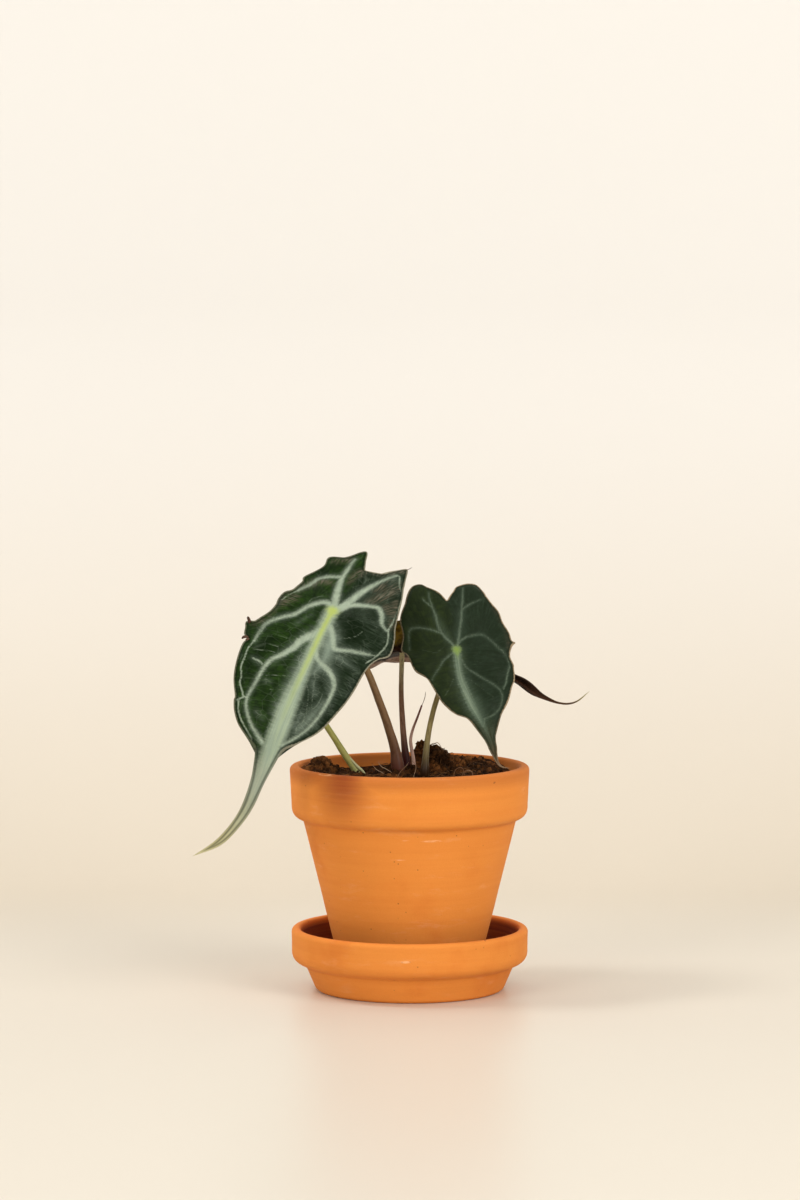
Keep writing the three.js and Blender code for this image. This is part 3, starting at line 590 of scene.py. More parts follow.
def soil_bed():
    """The filled pot's inside: rings out over the floor, up the wall, and in over the crumbly top."""
    angle = turns(SOIL_SIDES)
    floor = 11.7
    heights = np.array([floor, floor, 14.7, 40, 64, 72, 78.5])
    radii = pot_inner_radius(heights) - SOIL_GAP
    radii[:2] = (11, radii[1] - 0.8)
    rings = [round_places(radius, angle, height) for radius, height in zip(radii, heights)]
    rim = float(pot_inner_radius(SOIL_LEVEL)) - SOIL_GAP
    for share in np.linspace(1, 0.012, SOIL_RINGS) ** 0.85:
        x, y = share * rim * np.cos(angle), share * rim * np.sin(angle)
        z = soil_height(x, y) + soil_crumb(x, y) * smoothstep(1.0, 0.97, share)
        out = (pot_inner_radius(z) - SOIL_GAP) / rim if share > 0.99 else 1
        rings.append(np.stack([x * out, y * out, z], axis=-1))
    return closed_skin(np.stack(rings), np.array([[0, 0, floor]]), rings[-1].mean(axis=0, keepdims=True))


def scattered(count, reach, generator):
    """Places evenly spread over a disc: the radius is the root of an even random number."""
    radius = reach * np.sqrt(generator.uniform(0, 1, count))
    angle = generator.uniform(0, 2 * np.pi, count)
    return radius * np.cos(angle), radius * np.sin(angle)


def crumbs(x, y, size, generator):
    """Small clods: squashed balls of three rings and two poles, every point moved in or out at random."""
    rings, around = 3, 7
    tilt = ((np.arange(rings) + 1) / (rings + 1) * np.pi)[:, None]
    ball = round_places(np.sin(tilt), turns(around), np.cos(tilt))
    z = soil_height(x, y) + soil_crumb(x, y)
    stretch = generator.uniform(0.55, 1.35, (len(x), 3))
    lean = generator.uniform(0, 2 * np.pi, len(x))
    skins = []
    for i in range(len(x)):
        shape = ball * generator.uniform(0.7, 1.25, (rings, around, 1)) * stretch[i] * size[i]
        turned = np.stack([shape[..., 0] * math.cos(lean[i]) - shape[..., 1] * math.sin(lean[i]),
                           shape[..., 0] * math.sin(lean[i]) + shape[..., 1] * math.cos(lean[i]),
                           shape[..., 2]], axis=-1)
        centre = np.array([x[i], y[i], z[i]])
        pole = np.array([[0, 0, stretch[i][2] * size[i]]])
        skins.append(closed_skin(turned + centre, pole + centre, centre - pole))
    return skins


def loose_crumbs(generator):
    """Crumbs all over the soil, most of them fine, more on the heaps, and some spilled by the wall."""
    x, y = scattered(CRUMB_COUNT, CRUMB_REACH, generator)
    size = 0.3 + 0.9 * generator.uniform(0, 1, CRUMB_COUNT) ** 3
    spill_turn = np.radians(generator.uniform(*SPILL_ANGLES, SPILL_COUNT))
    spill_reach = generator.uniform(*SPILL_RADII, SPILL_COUNT)
    heap_x = np.concatenate([generator.normal(cx, spread_x, count) for cx, _, spread_x, _, count in HEAPS])
    heap_y = np.concatenate([generator.normal(cy, spread_y, count) for _, cy, _, spread_y, count in HEAPS])
    inside = np.hypot(heap_x, heap_y) < CRUMB_REACH
    heap_x, heap_y = heap_x[inside], heap_y[inside]
    clods = crumbs(x, y, size, generator)
    clods += crumbs(heap_x, heap_y, generator.uniform(0.35, 1.2, len(heap_x)), generator)
    clods += crumbs(spill_reach * np.cos(spill_turn), spill_reach * np.sin(spill_turn),
                    generator.uniform(0.5, 1.2, SPILL_COUNT), generator)
    return clods


def thread(points, radius, around=5, steps=None, taper=0.3):
    """A round thread along a smooth route, thinner towards both ends."""
    count = steps or 4 * len(points)
    at = np.linspace(0, len(points) - 1, count)
    centre, direction = smooth_route(points, at)
    direction = unit(direction)
    no_thread_runs = (0.31, 0.2, 0.93)
    side = unit(np.cross(direction, no_thread_runs))
    width = radius * (taper + (1 - taper) * np.sin(np.pi * np.linspace(0, 1, count)) ** 0.5)
    rings = centre[:, None] + width[:, None, None] * circles(side, np.cross(direction, side), around)
    return closed_skin(rings, centre[:1] - direction[:1] * 0.05, centre[-1:] + direction[-1:] * 0.05)


def loose_fibres(generator):
    """Fibres that lie on the soil: arcs with a steady turn and a random hump, low at both ends."""
    count = FIBRE_COUNT
    x, y = scattered(count, FIBRE_REACH, generator)
    heading = generator.uniform(0, 2 * np.pi, count)
    bend = generator.normal(0, 0.12, count)
    length = generator.uniform(4, 15, count)
    hump = generator.uniform(0.1, 1.2, count)
    radius = generator.uniform(0.05, 0.13, count)
    skins = []
    for i in range(count):
        run = np.linspace(0, length[i], 8)
        way = heading[i] + bend[i] * run
        px = x[i] + np.cumsum(np.cos(way)) * length[i] / 8
        py = y[i] + np.cumsum(np.sin(way)) * length[i] / 8
        inward = np.minimum(1, FIBRE_FARTHEST / np.hypot(px, py))
        px, py = px * inward, py * inward
        pz = soil_height(px, py) + soil_crumb(px, py) * 0.6 + hump[i] * np.sin(np.pi * run / length[i]) + 0.15
        skins.append(thread(np.stack([px, py, pz], axis=-1), radius[i], around=4, steps=14))
    return skins


def curled_roots(generator):
    """Short roots that rise from the soil, curl over to one side and go back into it."""
    x, y = generator.uniform(*CURL_X, CURL_COUNT), generator.uniform(*CURL_Y, CURL_COUNT)
    turn, size = generator.uniform(0, 2 * np.pi, CURL_COUNT), generator.uniform(0.5, 1.6, CURL_COUNT)
    way = np.linspace(0, 1.5 * np.pi, 7)
    skins = []
    for i in range(CURL_COUNT):
        route = np.stack([x[i] + size[i] * np.cos(turn[i]) * (1 - np.cos(way)),
                          y[i] + size[i] * np.sin(turn[i]) * np.sin(way) * 0.6,
                          soil_height(x[i], y[i]) - 0.7 + 1.1 * size[i] * np.sin(way * 0.75)], axis=-1)
        skins.append(thread(route, 0.11))
    return skins


# Leaves and stalks

def blade_surface(leaf, u, v, lift):
    """Places on a leaf: along the spine by u, then across it by v on the folded and cupped blade.

    Across is at right angles to the spine and to where the upper face looks. A half rises from the
    midrib by the sine of its fold, and cup times v squared bends it over."""
    spine = np.array(leaf["spine"], float)
    reach = reach_along(spine)
    along = np.clip(u + reach[leaf["joint"]], 0, reach[-1])
    centre, direction = smooth_route(spine, np.interp(along, reach, np.arange(len(spine))))
    direction = unit(direction)
    share = (along / reach[-1])[..., None]
    facing = np.array(leaf["facing"], float)
    across = unit(np.cross(facing[0] * (1 - share) + facing[1] * share, direction))
    normal = np.cross(direction, across)
    fold = np.radians(np.where(v < 0, *leaf["folds"]))
    rise = np.abs(v) * np.sin(fold) + leaf["cup"] * v * v + lift
    return centre + across * (v * np.cos(fold))[..., None] + normal * rise[..., None]


def gap_to_lines(u, v, lines):
    """Distance in mm from (u, v) to the nearest smoothed line, less that line's half width there."""
    farthest = 30.0
    gap = np.full(u.shape, farthest)
    for line in lines:
        count = max(2, 4 * (len(line) - 1) + 1)
        dense, _ = smooth_route(line, np.linspace(0, len(line) - 1, count), reflected=False)
        for (u0, v0, w0), (u1, v1, w1) in zip(dense[:-1], dense[1:]):
            du, dv = u1 - u0, v1 - v0
            share = np.clip(((u - u0) * du + (v - v0) * dv) / (du * du + dv * dv), 0, 1)
            away = np.hypot(u - u0 - share * du, v - v0 - share * dv)
            gap = np.minimum(gap, away - w0 - share * (w1 - w0))
    return gap


def blade(leaf, seed):
    """A blade as a closed skin, with each point's place, gaps and flow for its material.

    Ribs run from the midrib out to both margins, upper face first and back along the lower one. Veins
    are sunk in the upper face and stand out on the lower one, most of all the midrib, and the space
    between them swells. Both faces meet in a thin margin, which is waved."""
    steps, rows = leaf["steps"], leaf["rows"]
    share = (np.arange(rows + 1) / rows) ** 1.2
    s = np.arange(1, steps) / steps
    notch, tip = leaf["left"][0][0], leaf["left"][-1][0]
    root = notch + (tip - notch) * s
    height, count, phase = leaf["wave"]
    halves = []
    for outline, hand in ((leaf["left"], -1), (leaf["right"], 1)):
        edge = even_along(outline, steps + 1)[1:-1]
        wave = height * np.sin(np.pi * s) * np.sin(2 * np.pi * count * s + phase + hand)
        u = root[:, None] * (1 - share) + edge[:, :1] * share
        v = hand * np.maximum(edge[:, 1:], 0) * share
        halves.append((u, v, wave[:, None] * share ** 3))
    u, v, wave = (np.concatenate([left[:, :0:-1], right], axis=1) for left, right in zip(*halves))
    outline = [[(a, -b, 0) for a, b in leaf["left"]], [(a, b, 0) for a, b in leaf["right"]]]
    margin = gap_to_lines(u, v, outline)
    vein = gap_to_lines(u, v, leaf["veins"])
    midrib = gap_to_lines(u, v, [leaf["midrib"]])
    nearest = np.minimum(vein, midrib)
    place = np.stack([u, v], axis=-1)
    inside = smoothstep(0, 2.5, margin)
    swell = 0.45 * smoothstep(-0.2, 5, nearest) - 0.12 * smoothstep(0.5, -0.3, nearest)
    ripple = 0.28 * lattice_noise(place, 6.5, seed) + 0.09 * lattice_noise(place, 2.4, seed + 1)
    small = min(1, steps / 200)
    keel_size, collar_size = (1, 1) if leaf is LEAVES["large"] else (0.75, 0.7)
    lift = wave + (swell + ripple) * inside * small - 0.25 * small
    keel = np.interp(u, [-4, 0, 10, 60, 110], [0, 1.25, 1.1, 0.45, 0.2]) * keel_size
    keel = np.sqrt(np.maximum(keel ** 2 - v ** 2, 0)) * smoothstep(-5, 0, u)
    ridges = 0.3 * smoothstep(0.8, -0.3, vein) * inside
    collar = np.exp(-(u ** 2 + v ** 2) / 2.5) * collar_size
    ended = np.sin(np.pi * s)[:, None] ** 0.3
    thickness = (0.14 + 0.3 * smoothstep(0, 1.6, margin)) * ended
    thickness = thickness + (np.maximum(keel, ridges) + collar) * inside
    upper = blade_surface(leaf, u, v, lift)
    lower = blade_surface(leaf, u, v, lift - thickness)
    rings = np.concatenate([upper, lower[:, ::-1]], axis=1)
    ends_u = np.array([notch, tip], float)
    ends = blade_surface(leaf, ends_u, np.zeros(2), np.full(2, -0.1))
    skin = closed_skin(rings, ends[:1], ends[1:])

    aside = np.abs(v) - FAN_CENTRE
    fan = LOBE_FAN * (np.arctan2(aside, -u) - np.pi / 2)
    flow = np.where(u < 0, fan, u - 0.12 * np.maximum(aside, 0))
    outward = np.where(u < 0, np.hypot(u, aside) + FAN_CENTRE, np.abs(v))
    fine_gap = gap_to_lines(u, v, leaf["fine"])
    haze = smoothstep(*HAZE_FADE, gap_to_lines(u, v, leaf["haze"]))
    dry_and_sheen = smoothstep(*DRY_AND_SHEEN_FADE, gap_to_lines(u, v, leaf["dry_and_sheen"]))
    shade = smoothstep(*SHADE_FADE, gap_to_lines(u, v, leaf["shade"]))
    thread_gap = gap_to_lines(u, v, leaf["threads"])

    def both_faces(numbers, at_ends, below=1):
        """A number for every point: along each rib, back along it times below, and at the two ends."""
        return np.append(np.concatenate([numbers, below * numbers[:, ::-1]], axis=1), at_ends)

    none, far = (0, 0), (3, 3)
    columns = {
        "leaf_place": [(u, ends_u), (v, none), (np.ones_like(u), (1, 1), -1)],
        "leaf_gaps": [(vein, far), (midrib, none), (margin, none)],
        "leaf_flow": [(flow, ends_u), (outward, none), (fine_gap, far)],
        "leaf_marks": [(haze, none), (dry_and_sheen, none), (thread_gap, far)],
    }
    values = {key: np.stack([both_faces(*column) for column in three], axis=-1)
              for key, three in columns.items()}
    values["leaf_shade"] = both_faces(shade, none)
    return skin, values


def stalk(points, seed, sides=20, groove=0.0):
    """A stalk through (x, y, z, radius) points, with each point's share of the way, turn and length.

    Rings stand square to the smooth route. Noise makes the radius a little uneven, and a groove
    takes a bell-shaped dip out of the front of each ring."""
    at = np.linspace(0, len(points) - 1, 10 * (len(points) - 1) + 1)
    route, direction = smooth_route(points, at)
    centre, radius, direction = route[:, :3], route[:, 3], unit(direction[:, :3])
    side = unit(np.cross((0.0, 1.0, 0.0), direction))
    ring, turn = circles(side, np.cross(direction, side), sides), turns(sides)
    uneven = 1 + 0.05 * lattice_noise(centre[:, None] + ring * 3, 3.5, seed)
    dip = 1 - groove * np.exp(-((turn - 1.5 * np.pi) / 0.5) ** 2)
    rings = centre[:, None] + (radius[:, None] * uneven * dip)[..., None] * ring
    rings[-1] = centre[-1] + 0.55 * (rings[-1] - centre[-1]) - 0.15 * direction[-1]
    skin = closed_skin(rings, centre[:1] - 0.3 * direction[:1], centre[-1:])
    length = reach_along(centre)
    share, about, run = at[:, None] / at[-1], turn / (2 * np.pi), length[:, None]
    columns = [np.append(np.broadcast_to(numbers, rings.shape[:2]), at_ends)
               for numbers, at_ends in ((share, (0, 1)), (about, (0, 0)), (run, (0, length[-1])))]
    return skin, {"stalk_place": np.stack(columns, axis=-1)}


# Shader parts

def feed(tree, socket, value):
    """Links another socket into this one, or sets this one to a value."""
    if isinstance(value, bpy.types.NodeSocket):
        tree.links.new(value, socket)
    else:
        socket.default_value = value


def node(tree, kind, inputs=None, **settings):
    """Adds a node, makes its settings, and gives each named or numbered input a value or a link."""
    made = tree.nodes.new(kind)
    for key, value in settings.items():
        setattr(made, key, value)
    for key, value in (inputs or {}).items():
        feed(tree, made.inputs[key], value)
    return made


def maths(tree, operation, first, *others):
    """Numbers taken together in turn by an operation, or one number changed by it."""
    for other in others or (0.0,):
        first = node(tree, "ShaderNodeMath", {0: first, 1: other}, operation=operation).outputs[0]
    return first


def plus(tree, *numbers):
    """Numbers added up."""
    return maths(tree, "ADD", *numbers)


def times(tree, *numbers):
    """Numbers multiplied."""
    return maths(tree, "MULTIPLY", *numbers)


def greatest(tree, *numbers):
    """The greatest of some numbers."""
    return maths(tree, "MAXIMUM", *numbers)


def vector_maths(tree, operation, *vectors):
    """The outputs of an operation on one or two vectors."""
    return node(tree, "ShaderNodeVectorMath", dict(enumerate(vectors)), operation=operation).outputs


def parts(tree, place):
    """The three numbers of a place."""
    return node(tree, "ShaderNodeSeparateXYZ", {0: place}).outputs


def joined(tree, *numbers):
    """A place of two or three numbers."""
    return node(tree, "ShaderNodeCombineXYZ", dict(enumerate(numbers))).outputs[0]


def fade(tree, value, low, high, least=0.0, most=1.0):
    """A mask that goes smoothly from least where value is low to most where it is high."""
    return node(tree, "ShaderNodeMapRange", {
        "Value": value, "From Min": low, "From Max": high, "To Min": least, "To Max": most,
    }, interpolation_type="SMOOTHSTEP").outputs[0]


def layered(tree, colour, *layers):
    """A colour with others laid over it in turn, each as (mask, colour)."""
    for mask, over in layers:
        colour = node(tree, "ShaderNodeMix", {0: mask, 6: colour, 7: over}, data_type="RGBA").outputs[2]
    return colour


def stretched(tree, place, scale):
    """A place with each axis scaled by its own number."""
    return node(tree, "ShaderNodeMapping", {"Vector": place, "Scale": scale}).outputs[0]


def cloud(tree, place, scale, detail=3.0, roughness=0.55, distortion=0.0):
    """Noise from 0 to 1, its scale in waves for each unit of place."""
    return node(tree, "ShaderNodeTexNoise", {
        "Vector": place, "Scale": scale, "Detail": detail, "Roughness": roughness, "Distortion": distortion,
    }).outputs["Fac"]


def drawn_out(tree, place, scale, *manner):
    """Noise with a scale for each axis, long where that is small, with cloud's other numbers."""
    return cloud(tree, stretched(tree, place, scale), 1.0, *manner)


def attribute(tree, name, output="Vector"):
    """What a piece's points carry under that name: a vector, or with Fac a number."""
    return node(tree, "ShaderNodeAttribute", attribute_name=name).outputs[output]


def object_place(tree):
    """The place on the object, in metres."""
    return node(tree, "ShaderNodeTexCoord").outputs["Object"]


def effect(name, inputs, outputs):
    """A new node group, what it is given and what it puts out.

    inputs are {name: number, place or colour}. The output Colour is a colour, and others are numbers."""
    group = bpy.data.node_groups.new(name, "ShaderNodeTree")
    kinds = {3: "NodeSocketVector", 4: "NodeSocketColor"}
    for key, value in inputs.items():
        kind = kinds[len(value)] if isinstance(value, tuple) else "NodeSocketFloat"
        group.interface.new_socket(key, in_out="INPUT", socket_type=kind).default_value = value
    for key in outputs:
        kind = "NodeSocketColor" if key == "Colour" else "NodeSocketFloat"
        group.interface.new_socket(key, in_out="OUTPUT", socket_type=kind)
    return group, group.nodes.new("NodeGroupInput").outputs, group.nodes.new("NodeGroupOutput").inputs


def put_out(group, result, **sockets):
    """Links a group's outputs, with _ for a space in their names, and gives back the group."""
    for key, socket in sockets.items():
        group.links.new(socket, result[key.replace("_", " ")])
    return group


def use(tree, group, **inputs):
    """A group placed in a material, with the inputs that differ from its own values."""
    made = node(tree, "ShaderNodeGroup", node_tree=group)
    for key, value in inputs.items():
        feed(tree, made.inputs[key.replace("_", " ")], value)
    return made.outputs


def material(name):
    """An empty node material, its tree, and its Principled BSDF."""
    made = bpy.data.materials.new(name)
    made.use_nodes = True
    return made, made.node_tree, made.node_tree.nodes["Principled BSDF"]


def finish_surface(tree, shader, colour, roughness, specular, height=None, relief=0.0, distance=0.0):
    """Wires the colour, the roughness and a bump of the height, and sets the shader's own specular level."""
    tree.links.new(colour, shader.inputs["Base Color"])
    feed(tree, shader.inputs["Roughness"], roughness)
    shader.inputs["Specular IOR Level"].default_value = specular
    if height is not None:
        bump = node(tree, "ShaderNodeBump", {"Height": height, "Strength": relief, "Distance": distance})
        tree.links.new(bump.outputs[0], shader.inputs["Normal"])


def rgb(red, green, blue):
    """A colour of 0 to 255 screen values as the linear colour that a socket takes."""
    screen = np.array([red, green, blue]) / 255
    linear = np.where(screen <= 0.04045, screen / 12.92, ((screen + 0.055) / 1.055) ** 2.4)
    return (*linear.tolist(), 1.0)


# Effects

ORIGIN = (0.0, 0.0, 0.0)


def fired_clay_effect():
    """Fired clay: colour drifts in level bands and clouds, with a pale bloom, dark specks and grain.

    Stains and painted shade are laid over the colour by one mask, in uneven level lines, and chalky
    marks, among them a painted highlight, and dirt by theirs."""
    group, given, result = effect("Fired clay", {
        "Place": ORIGIN, "Clay": rgb(227, 139, 56), "Deep": rgb(206, 106, 35), "Bloom": rgb(240, 175, 120),
        "Speck": rgb(90, 40, 18), "Stain": rgb(154, 70, 25), "Stain Mask": 0.0, "Chalk Mask": 0.0,
        "Dirt Mask": 0.0, "Banding": 0.5, "Bloom Amount": 0.3,
    }, ("Colour", "Roughness", "Height"))
    place = given["Place"]
    bands = drawn_out(group, place, (12, 12, 420), 3, 0.6)
    smear = drawn_out(group, place, (60, 60, 240), 5, 0.65)
    lines = drawn_out(group, place, (9, 9, 900), 3, 0.6)
    clouds = cloud(group, place, 45, 4, 0.55)
    sand = cloud(group, place, 1900, 2, 0.6)
    deep = plus(group, times(group, fade(group, bands, 0.35, 0.75), given["Banding"]),
                fade(group, clouds, 0.5, 0.8, 0, 0.45))
    bloom = times(group, fade(group, smear, 0.56, 0.78), given["Bloom Amount"])
    grains = node(group, "ShaderNodeTexVoronoi", {"Vector": place, "Scale": 700.0, "Randomness": 1.0}).outputs
    pick = fade(group, node(group, "ShaderNodeSeparateColor", {0: grains["Color"]}).outputs[0], 0.95, 1.0)
    dot = times(group, fade(group, grains["Distance"], 0.26, 0.1), pick)
    # Stains and painted shade, laid on in uneven level lines
    stain_and_shade = times(group, fade(group, lines, 0.3, 0.62, 0.84, 1.0), given["Stain Mask"])
    colour = layered(
        group, given["Clay"], (deep, given["Deep"]), (bloom, given["Bloom"]),
        (times(group, dot, 0.6), given["Speck"]), (fade(group, sand, 0.4, 0.75, 0, 0.12), given["Deep"]),
        (stain_and_shade, given["Stain"]), (given["Chalk Mask"], given["Bloom"]), (given["Dirt Mask"], given["Speck"]))
    return put_out(group, result, Colour=colour, Roughness=fade(group, clouds, 0.3, 0.8, 0.78, 0.9),
                   Height=maths(group, "SUBTRACT", plus(group, times(group, sand, 0.5), bands), dot))


def leaf_effect():
    """A leaf's colours from its places: pale veins and haze, streaks across, dried patches and painted
    sheen, and a margin.

    Streaks are noise drawn out along the flow, which runs straight out from the midrib and fans round
    the joint in the lobes. They feather the haze and the midrib's edges. Lengthwise stripes run in the
    midrib and the drip tip."""
    group, given, result = effect("Leaf blade", {
        "Place": (0.0, 0.0, 1.0), "Gaps": (5.0, 5.0, 5.0), "Flow": ORIGIN, "Marks": (0.0, 0.0, 5.0),
        "Shade": 0.0,
        "Green": rgb(33, 55, 14), "Blue": rgb(29, 41, 25), "Dark": rgb(9, 22, 4), "Haze": rgb(135, 149, 132),
        "Vein": rgb(158, 170, 148), "Midrib": rgb(152, 165, 140), "Joint": rgb(166, 180, 96),
        # Dry colours the dried patches and, on the big leaf's lobes, painted sheen
        "Dry": rgb(100, 93, 77), "Margin": rgb(142, 136, 115), "Under": rgb(58, 30, 34),
        "Under Vein": rgb(96, 60, 52), "Under Left": rgb(66, 44, 32), "Under Right": rgb(66, 44, 32),
        "Tip": rgb(158, 162, 141), "Tip End": rgb(196, 186, 138), "Margin Width": 0.68, "Near Reach": 2.2,
        "Near Amount": 0.24, "Streak Amount": 0.24, "Network Amount": 0.5, "Joint Reach": 38.0,
        "Joint Width": 0.8, "Joint Spot": 2.7, "Tip Start": 58.0, "Tip Length": 52.0, "Softness": 0.55,
        "Vein Spread": 0.0,
    }, ("Colour", "Vein Mask", "Height"))
    along, across, face = parts(group, given["Place"])
    vein_gap, rib_gap, margin_gap = parts(group, given["Gaps"])
    flow_along, flow_out, line_gap = parts(group, given["Flow"])
    haze_mark, dry_and_sheen_mark, thread_gap = parts(group, given["Marks"])
    flat = joined(group, along, across)
    flow = joined(group, flow_along, flow_out, fade(group, across, -0.5, 0.5, 0, 7))

    # Patterns: from wide patches to fine grain, streaks and thin hairs across, and stripes lengthwise
    patches = cloud(group, flat, 0.12, 4, 0.55, 0.6)
    mottle = cloud(group, flat, 0.33, 3, 0.6, 0.4)
    fine = cloud(group, flat, 1.3, 3, 0.6)
    streaks = drawn_out(group, flow, (1.3, 0.1, 1), 4, 0.62, 0.3)
    hairs = drawn_out(group, flow, (3.6, 0.2, 1), 2, 0.5, 0.15)
    stripes = drawn_out(group, flat, (0.045, 1.5, 0), 4, 0.6, 0.2)

    # The green: bluer on the right half, darker in shade, with pale lines across, ragged dried patches
    # and painted sheen
    halves = fade(group, plus(group, across, fade(group, patches, 0.2, 0.8, -4.0, 4.0)), -2.5, 4.0)
    shaded = times(group, given["Shade"], fade(group, streaks, 0.3, 0.6, 0.7, 1.0))
    lines = times(
        group, plus(group, fade(group, hairs, 0.45, 0.8, 0, 0.6), fade(group, streaks, 0.6, 0.3, 0, 0.4)),
        fade(group, patches, 0.35, 0.7, 0.1, 1.0), given["Streak Amount"],
        fade(group, across, -3.0, 8.0, 0.2, 1.25), fade(group, given["Shade"], 0.0, 1.0, 1.0, 0.2))
    ragged = plus(group, fade(group, streaks, 0.4, 0.64, 0, 0.4), fade(group, hairs, 0.44, 0.64, 0, 0.62))
    dry_and_sheen = maths(group, "MINIMUM", times(group, dry_and_sheen_mark, ragged), 0.95)

    # Haze: where it is marked and beside the veins, more feathered the weaker it is
    nearest = maths(group, "MINIMUM", vein_gap, rib_gap)
    near = times(group, fade(group, nearest, given["Near Reach"], 0.0), given["Near Amount"])
    strength = greatest(group, haze_mark, near)
    feather = plus(group, fade(group, streaks, 0.32, 0.66, 0.6, 0.0), fade(group, hairs, 0.35, 0.7, 0.3, 0.0))
    feather = times(group, maths(group, "SUBTRACT", 1.0, strength), feather)
    feather = plus(group, maths(group, "SUBTRACT", 1.0, feather), fade(group, fine, 0.3, 0.7, -0.12, 0.02))
    haze = maths(group, "MINIMUM", times(group, strength, feather), 1.0)

    # Thin lines: a network of cells, stronger in the haze, and the leaf's own threads and fine lines
    cells = node(group, "ShaderNodeTexVoronoi", {
        "Vector": stretched(group, flow, (0.34, 0.22, 1)), "Scale": 1.0, "Randomness": 1.0,
    }, feature="DISTANCE_TO_EDGE").outputs["Distance"]
    veined = times(group, fade(group, patches, 0.4, 0.6, 0.2, 1.0), given["Network Amount"])
    network = times(group, fade(group, cells, 0.05, 0.0), veined,
                    plus(group, times(group, strength, 0.75), 0.12))
    broken = plus(group, thread_gap, fade(group, hairs, 0.3, 0.7, -0.15, 0.35))
    line = plus(group, line_gap, fade(group, fine, 0.3, 0.7, -0.12, 0.16))
    thin = greatest(group, network, times(group, fade(group, broken, 0.3, -0.2), 0.42),
                    fade(group, line, 0.5, -0.1, 0.0, 0.68))

    # Veins, and the midrib with its greener core from the joint and the spot on the joint
    uneven = plus(group, fade(group, fine, 0.25, 0.75, -0.22, 0.22), fade(group, hairs, 0.3, 0.7, -0.2, 0.2))
    vein_edge = plus(group, maths(group, "SUBTRACT", vein_gap, given["Vein Spread"]), uneven)
    vein_edge = maths(group, "DIVIDE", vein_edge, given["Softness"])
    vein = times(group, fade(group, vein_edge, 1.1, -1.1), fade(group, mottle, 0.3, 0.7, 0.78, 1.0))
    vein_colour = layered(group, given["Vein"], (fade(group, stripes, 0.4, 0.6, 0, 0.35), given["Haze"]))
    rib_edge = plus(group, rib_gap, fade(group, streaks, 0.25, 0.75, 0.24, -0.24), uneven)
    rib = fade(group, maths(group, "DIVIDE", rib_edge, given["Softness"]), 2.4, -2.2)
    beside = plus(group, maths(group, "ABSOLUTE", across), fade(group, streaks, 0.25, 0.75, 0.2, -0.2))
    core = times(
        group, fade(group, maths(group, "SUBTRACT", beside, given["Joint Width"]), 1.1, -1.1),
        fade(group, maths(group, "DIVIDE", along, given["Joint Reach"]), 1.6, 0.1, 0.0, 0.95),
        fade(group, along, -2.0, 0.0))
    rib_colour = layered(group, given["Midrib"], (fade(group, stripes, 0.38, 0.62, 0, 0.75), given["Haze"]),
                         (core, given["Joint"]))
    from_joint = maths(group, "DIVIDE", vector_maths(group, "LENGTH", flat)["Value"], given["Joint Spot"])
    spot = fade(group, plus(group, from_joint, uneven), 1.3, 0.1)

    # The drip tip, the dark line inside the margin, and the margin
    past = maths(group, "DIVIDE", maths(group, "SUBTRACT", along, given["Tip Start"]), given["Tip Length"])
    tip = fade(group, plus(group, past, times(group, uneven, 0.2)), 0.0, 0.3, 0, 0.92)
    tip_colour = layered(
        group, given["Tip"], (fade(group, stripes, 0.36, 0.62, 0, 0.35), given["Haze"]),
        (fade(group, margin_gap, 0.9, 0.2, 0, 0.35), given["Dark"]),
        (fade(group, past, 0.3, 0.95), given["Tip End"]))
    from_edge = maths(group, "DIVIDE", margin_gap, given["Margin Width"])
    inner_edge = times(group, fade(group, from_edge, 2.4, 1.4), fade(group, from_edge, 0.5, 1.1, 0, 0.6))
    edge = plus(group, from_edge, fade(group, fine, 0.3, 0.7, -0.15, 0.3))
    edge = times(group, fade(group, edge, 1.05, 0.45, 0, 0.85), fade(group, across, -6.0, 4.0, 0.55, 1.0),
                 fade(group, past, 0.1, -0.1, 0.35, 1.0))

    upper = layered(
        group, given["Green"], (halves, given["Blue"]),
        (fade(group, mottle, 0.4, 0.64, 0.55, 0.0), given["Dark"]),
        (fade(group, streaks, 0.42, 0.62, 0.0, 0.46), given["Dark"]), (shaded, given["Dark"]),
        (lines, given["Haze"]), (dry_and_sheen, given["Dry"]), (haze, given["Haze"]), (thin, given["Vein"]),
        (vein, vein_colour), (rib, rib_colour), (spot, given["Joint"]), (tip, tip_colour),
        (inner_edge, given["Dark"]), (edge, given["Margin"]))
    # Lower face: blotches beyond both sides of the middle, on the back leaf a painted glow and painted sheen
    blotch = fade(group, mottle, 0.36, 0.56, 0.45, 1.0)
    under = layered(
        group, given["Under"], (greatest(group, vein, rib), given["Under Vein"]),
        (fade(group, fine, 0.35, 0.75, 0, 0.35), given["Dark"]),
        (times(group, fade(group, across, -2.5, -6.0), blotch), given["Under Left"]),
        (times(group, fade(group, across, 10.0, 13.5), blotch), given["Under Right"]),
        (fade(group, past, 0.1, 0.6, 0, 0.75), given["Tip"]),
        (fade(group, past, 0.75, 1.0), given["Tip End"]), (edge, given["Margin"]))
    colour = layered(group, upper, (maths(group, "LESS_THAN", face, 0.0), under))
    height = plus(group, times(group, streaks, 0.7), times(group, hairs, 0.4), times(group, fine, 0.5))
    height = maths(group, "SUBTRACT", height, times(group, vein, 0.5))
    pale = greatest(group, vein, rib, times(group, haze, 0.8))
    return put_out(group, result, Colour=colour, Vein_Mask=pale, Height=height)


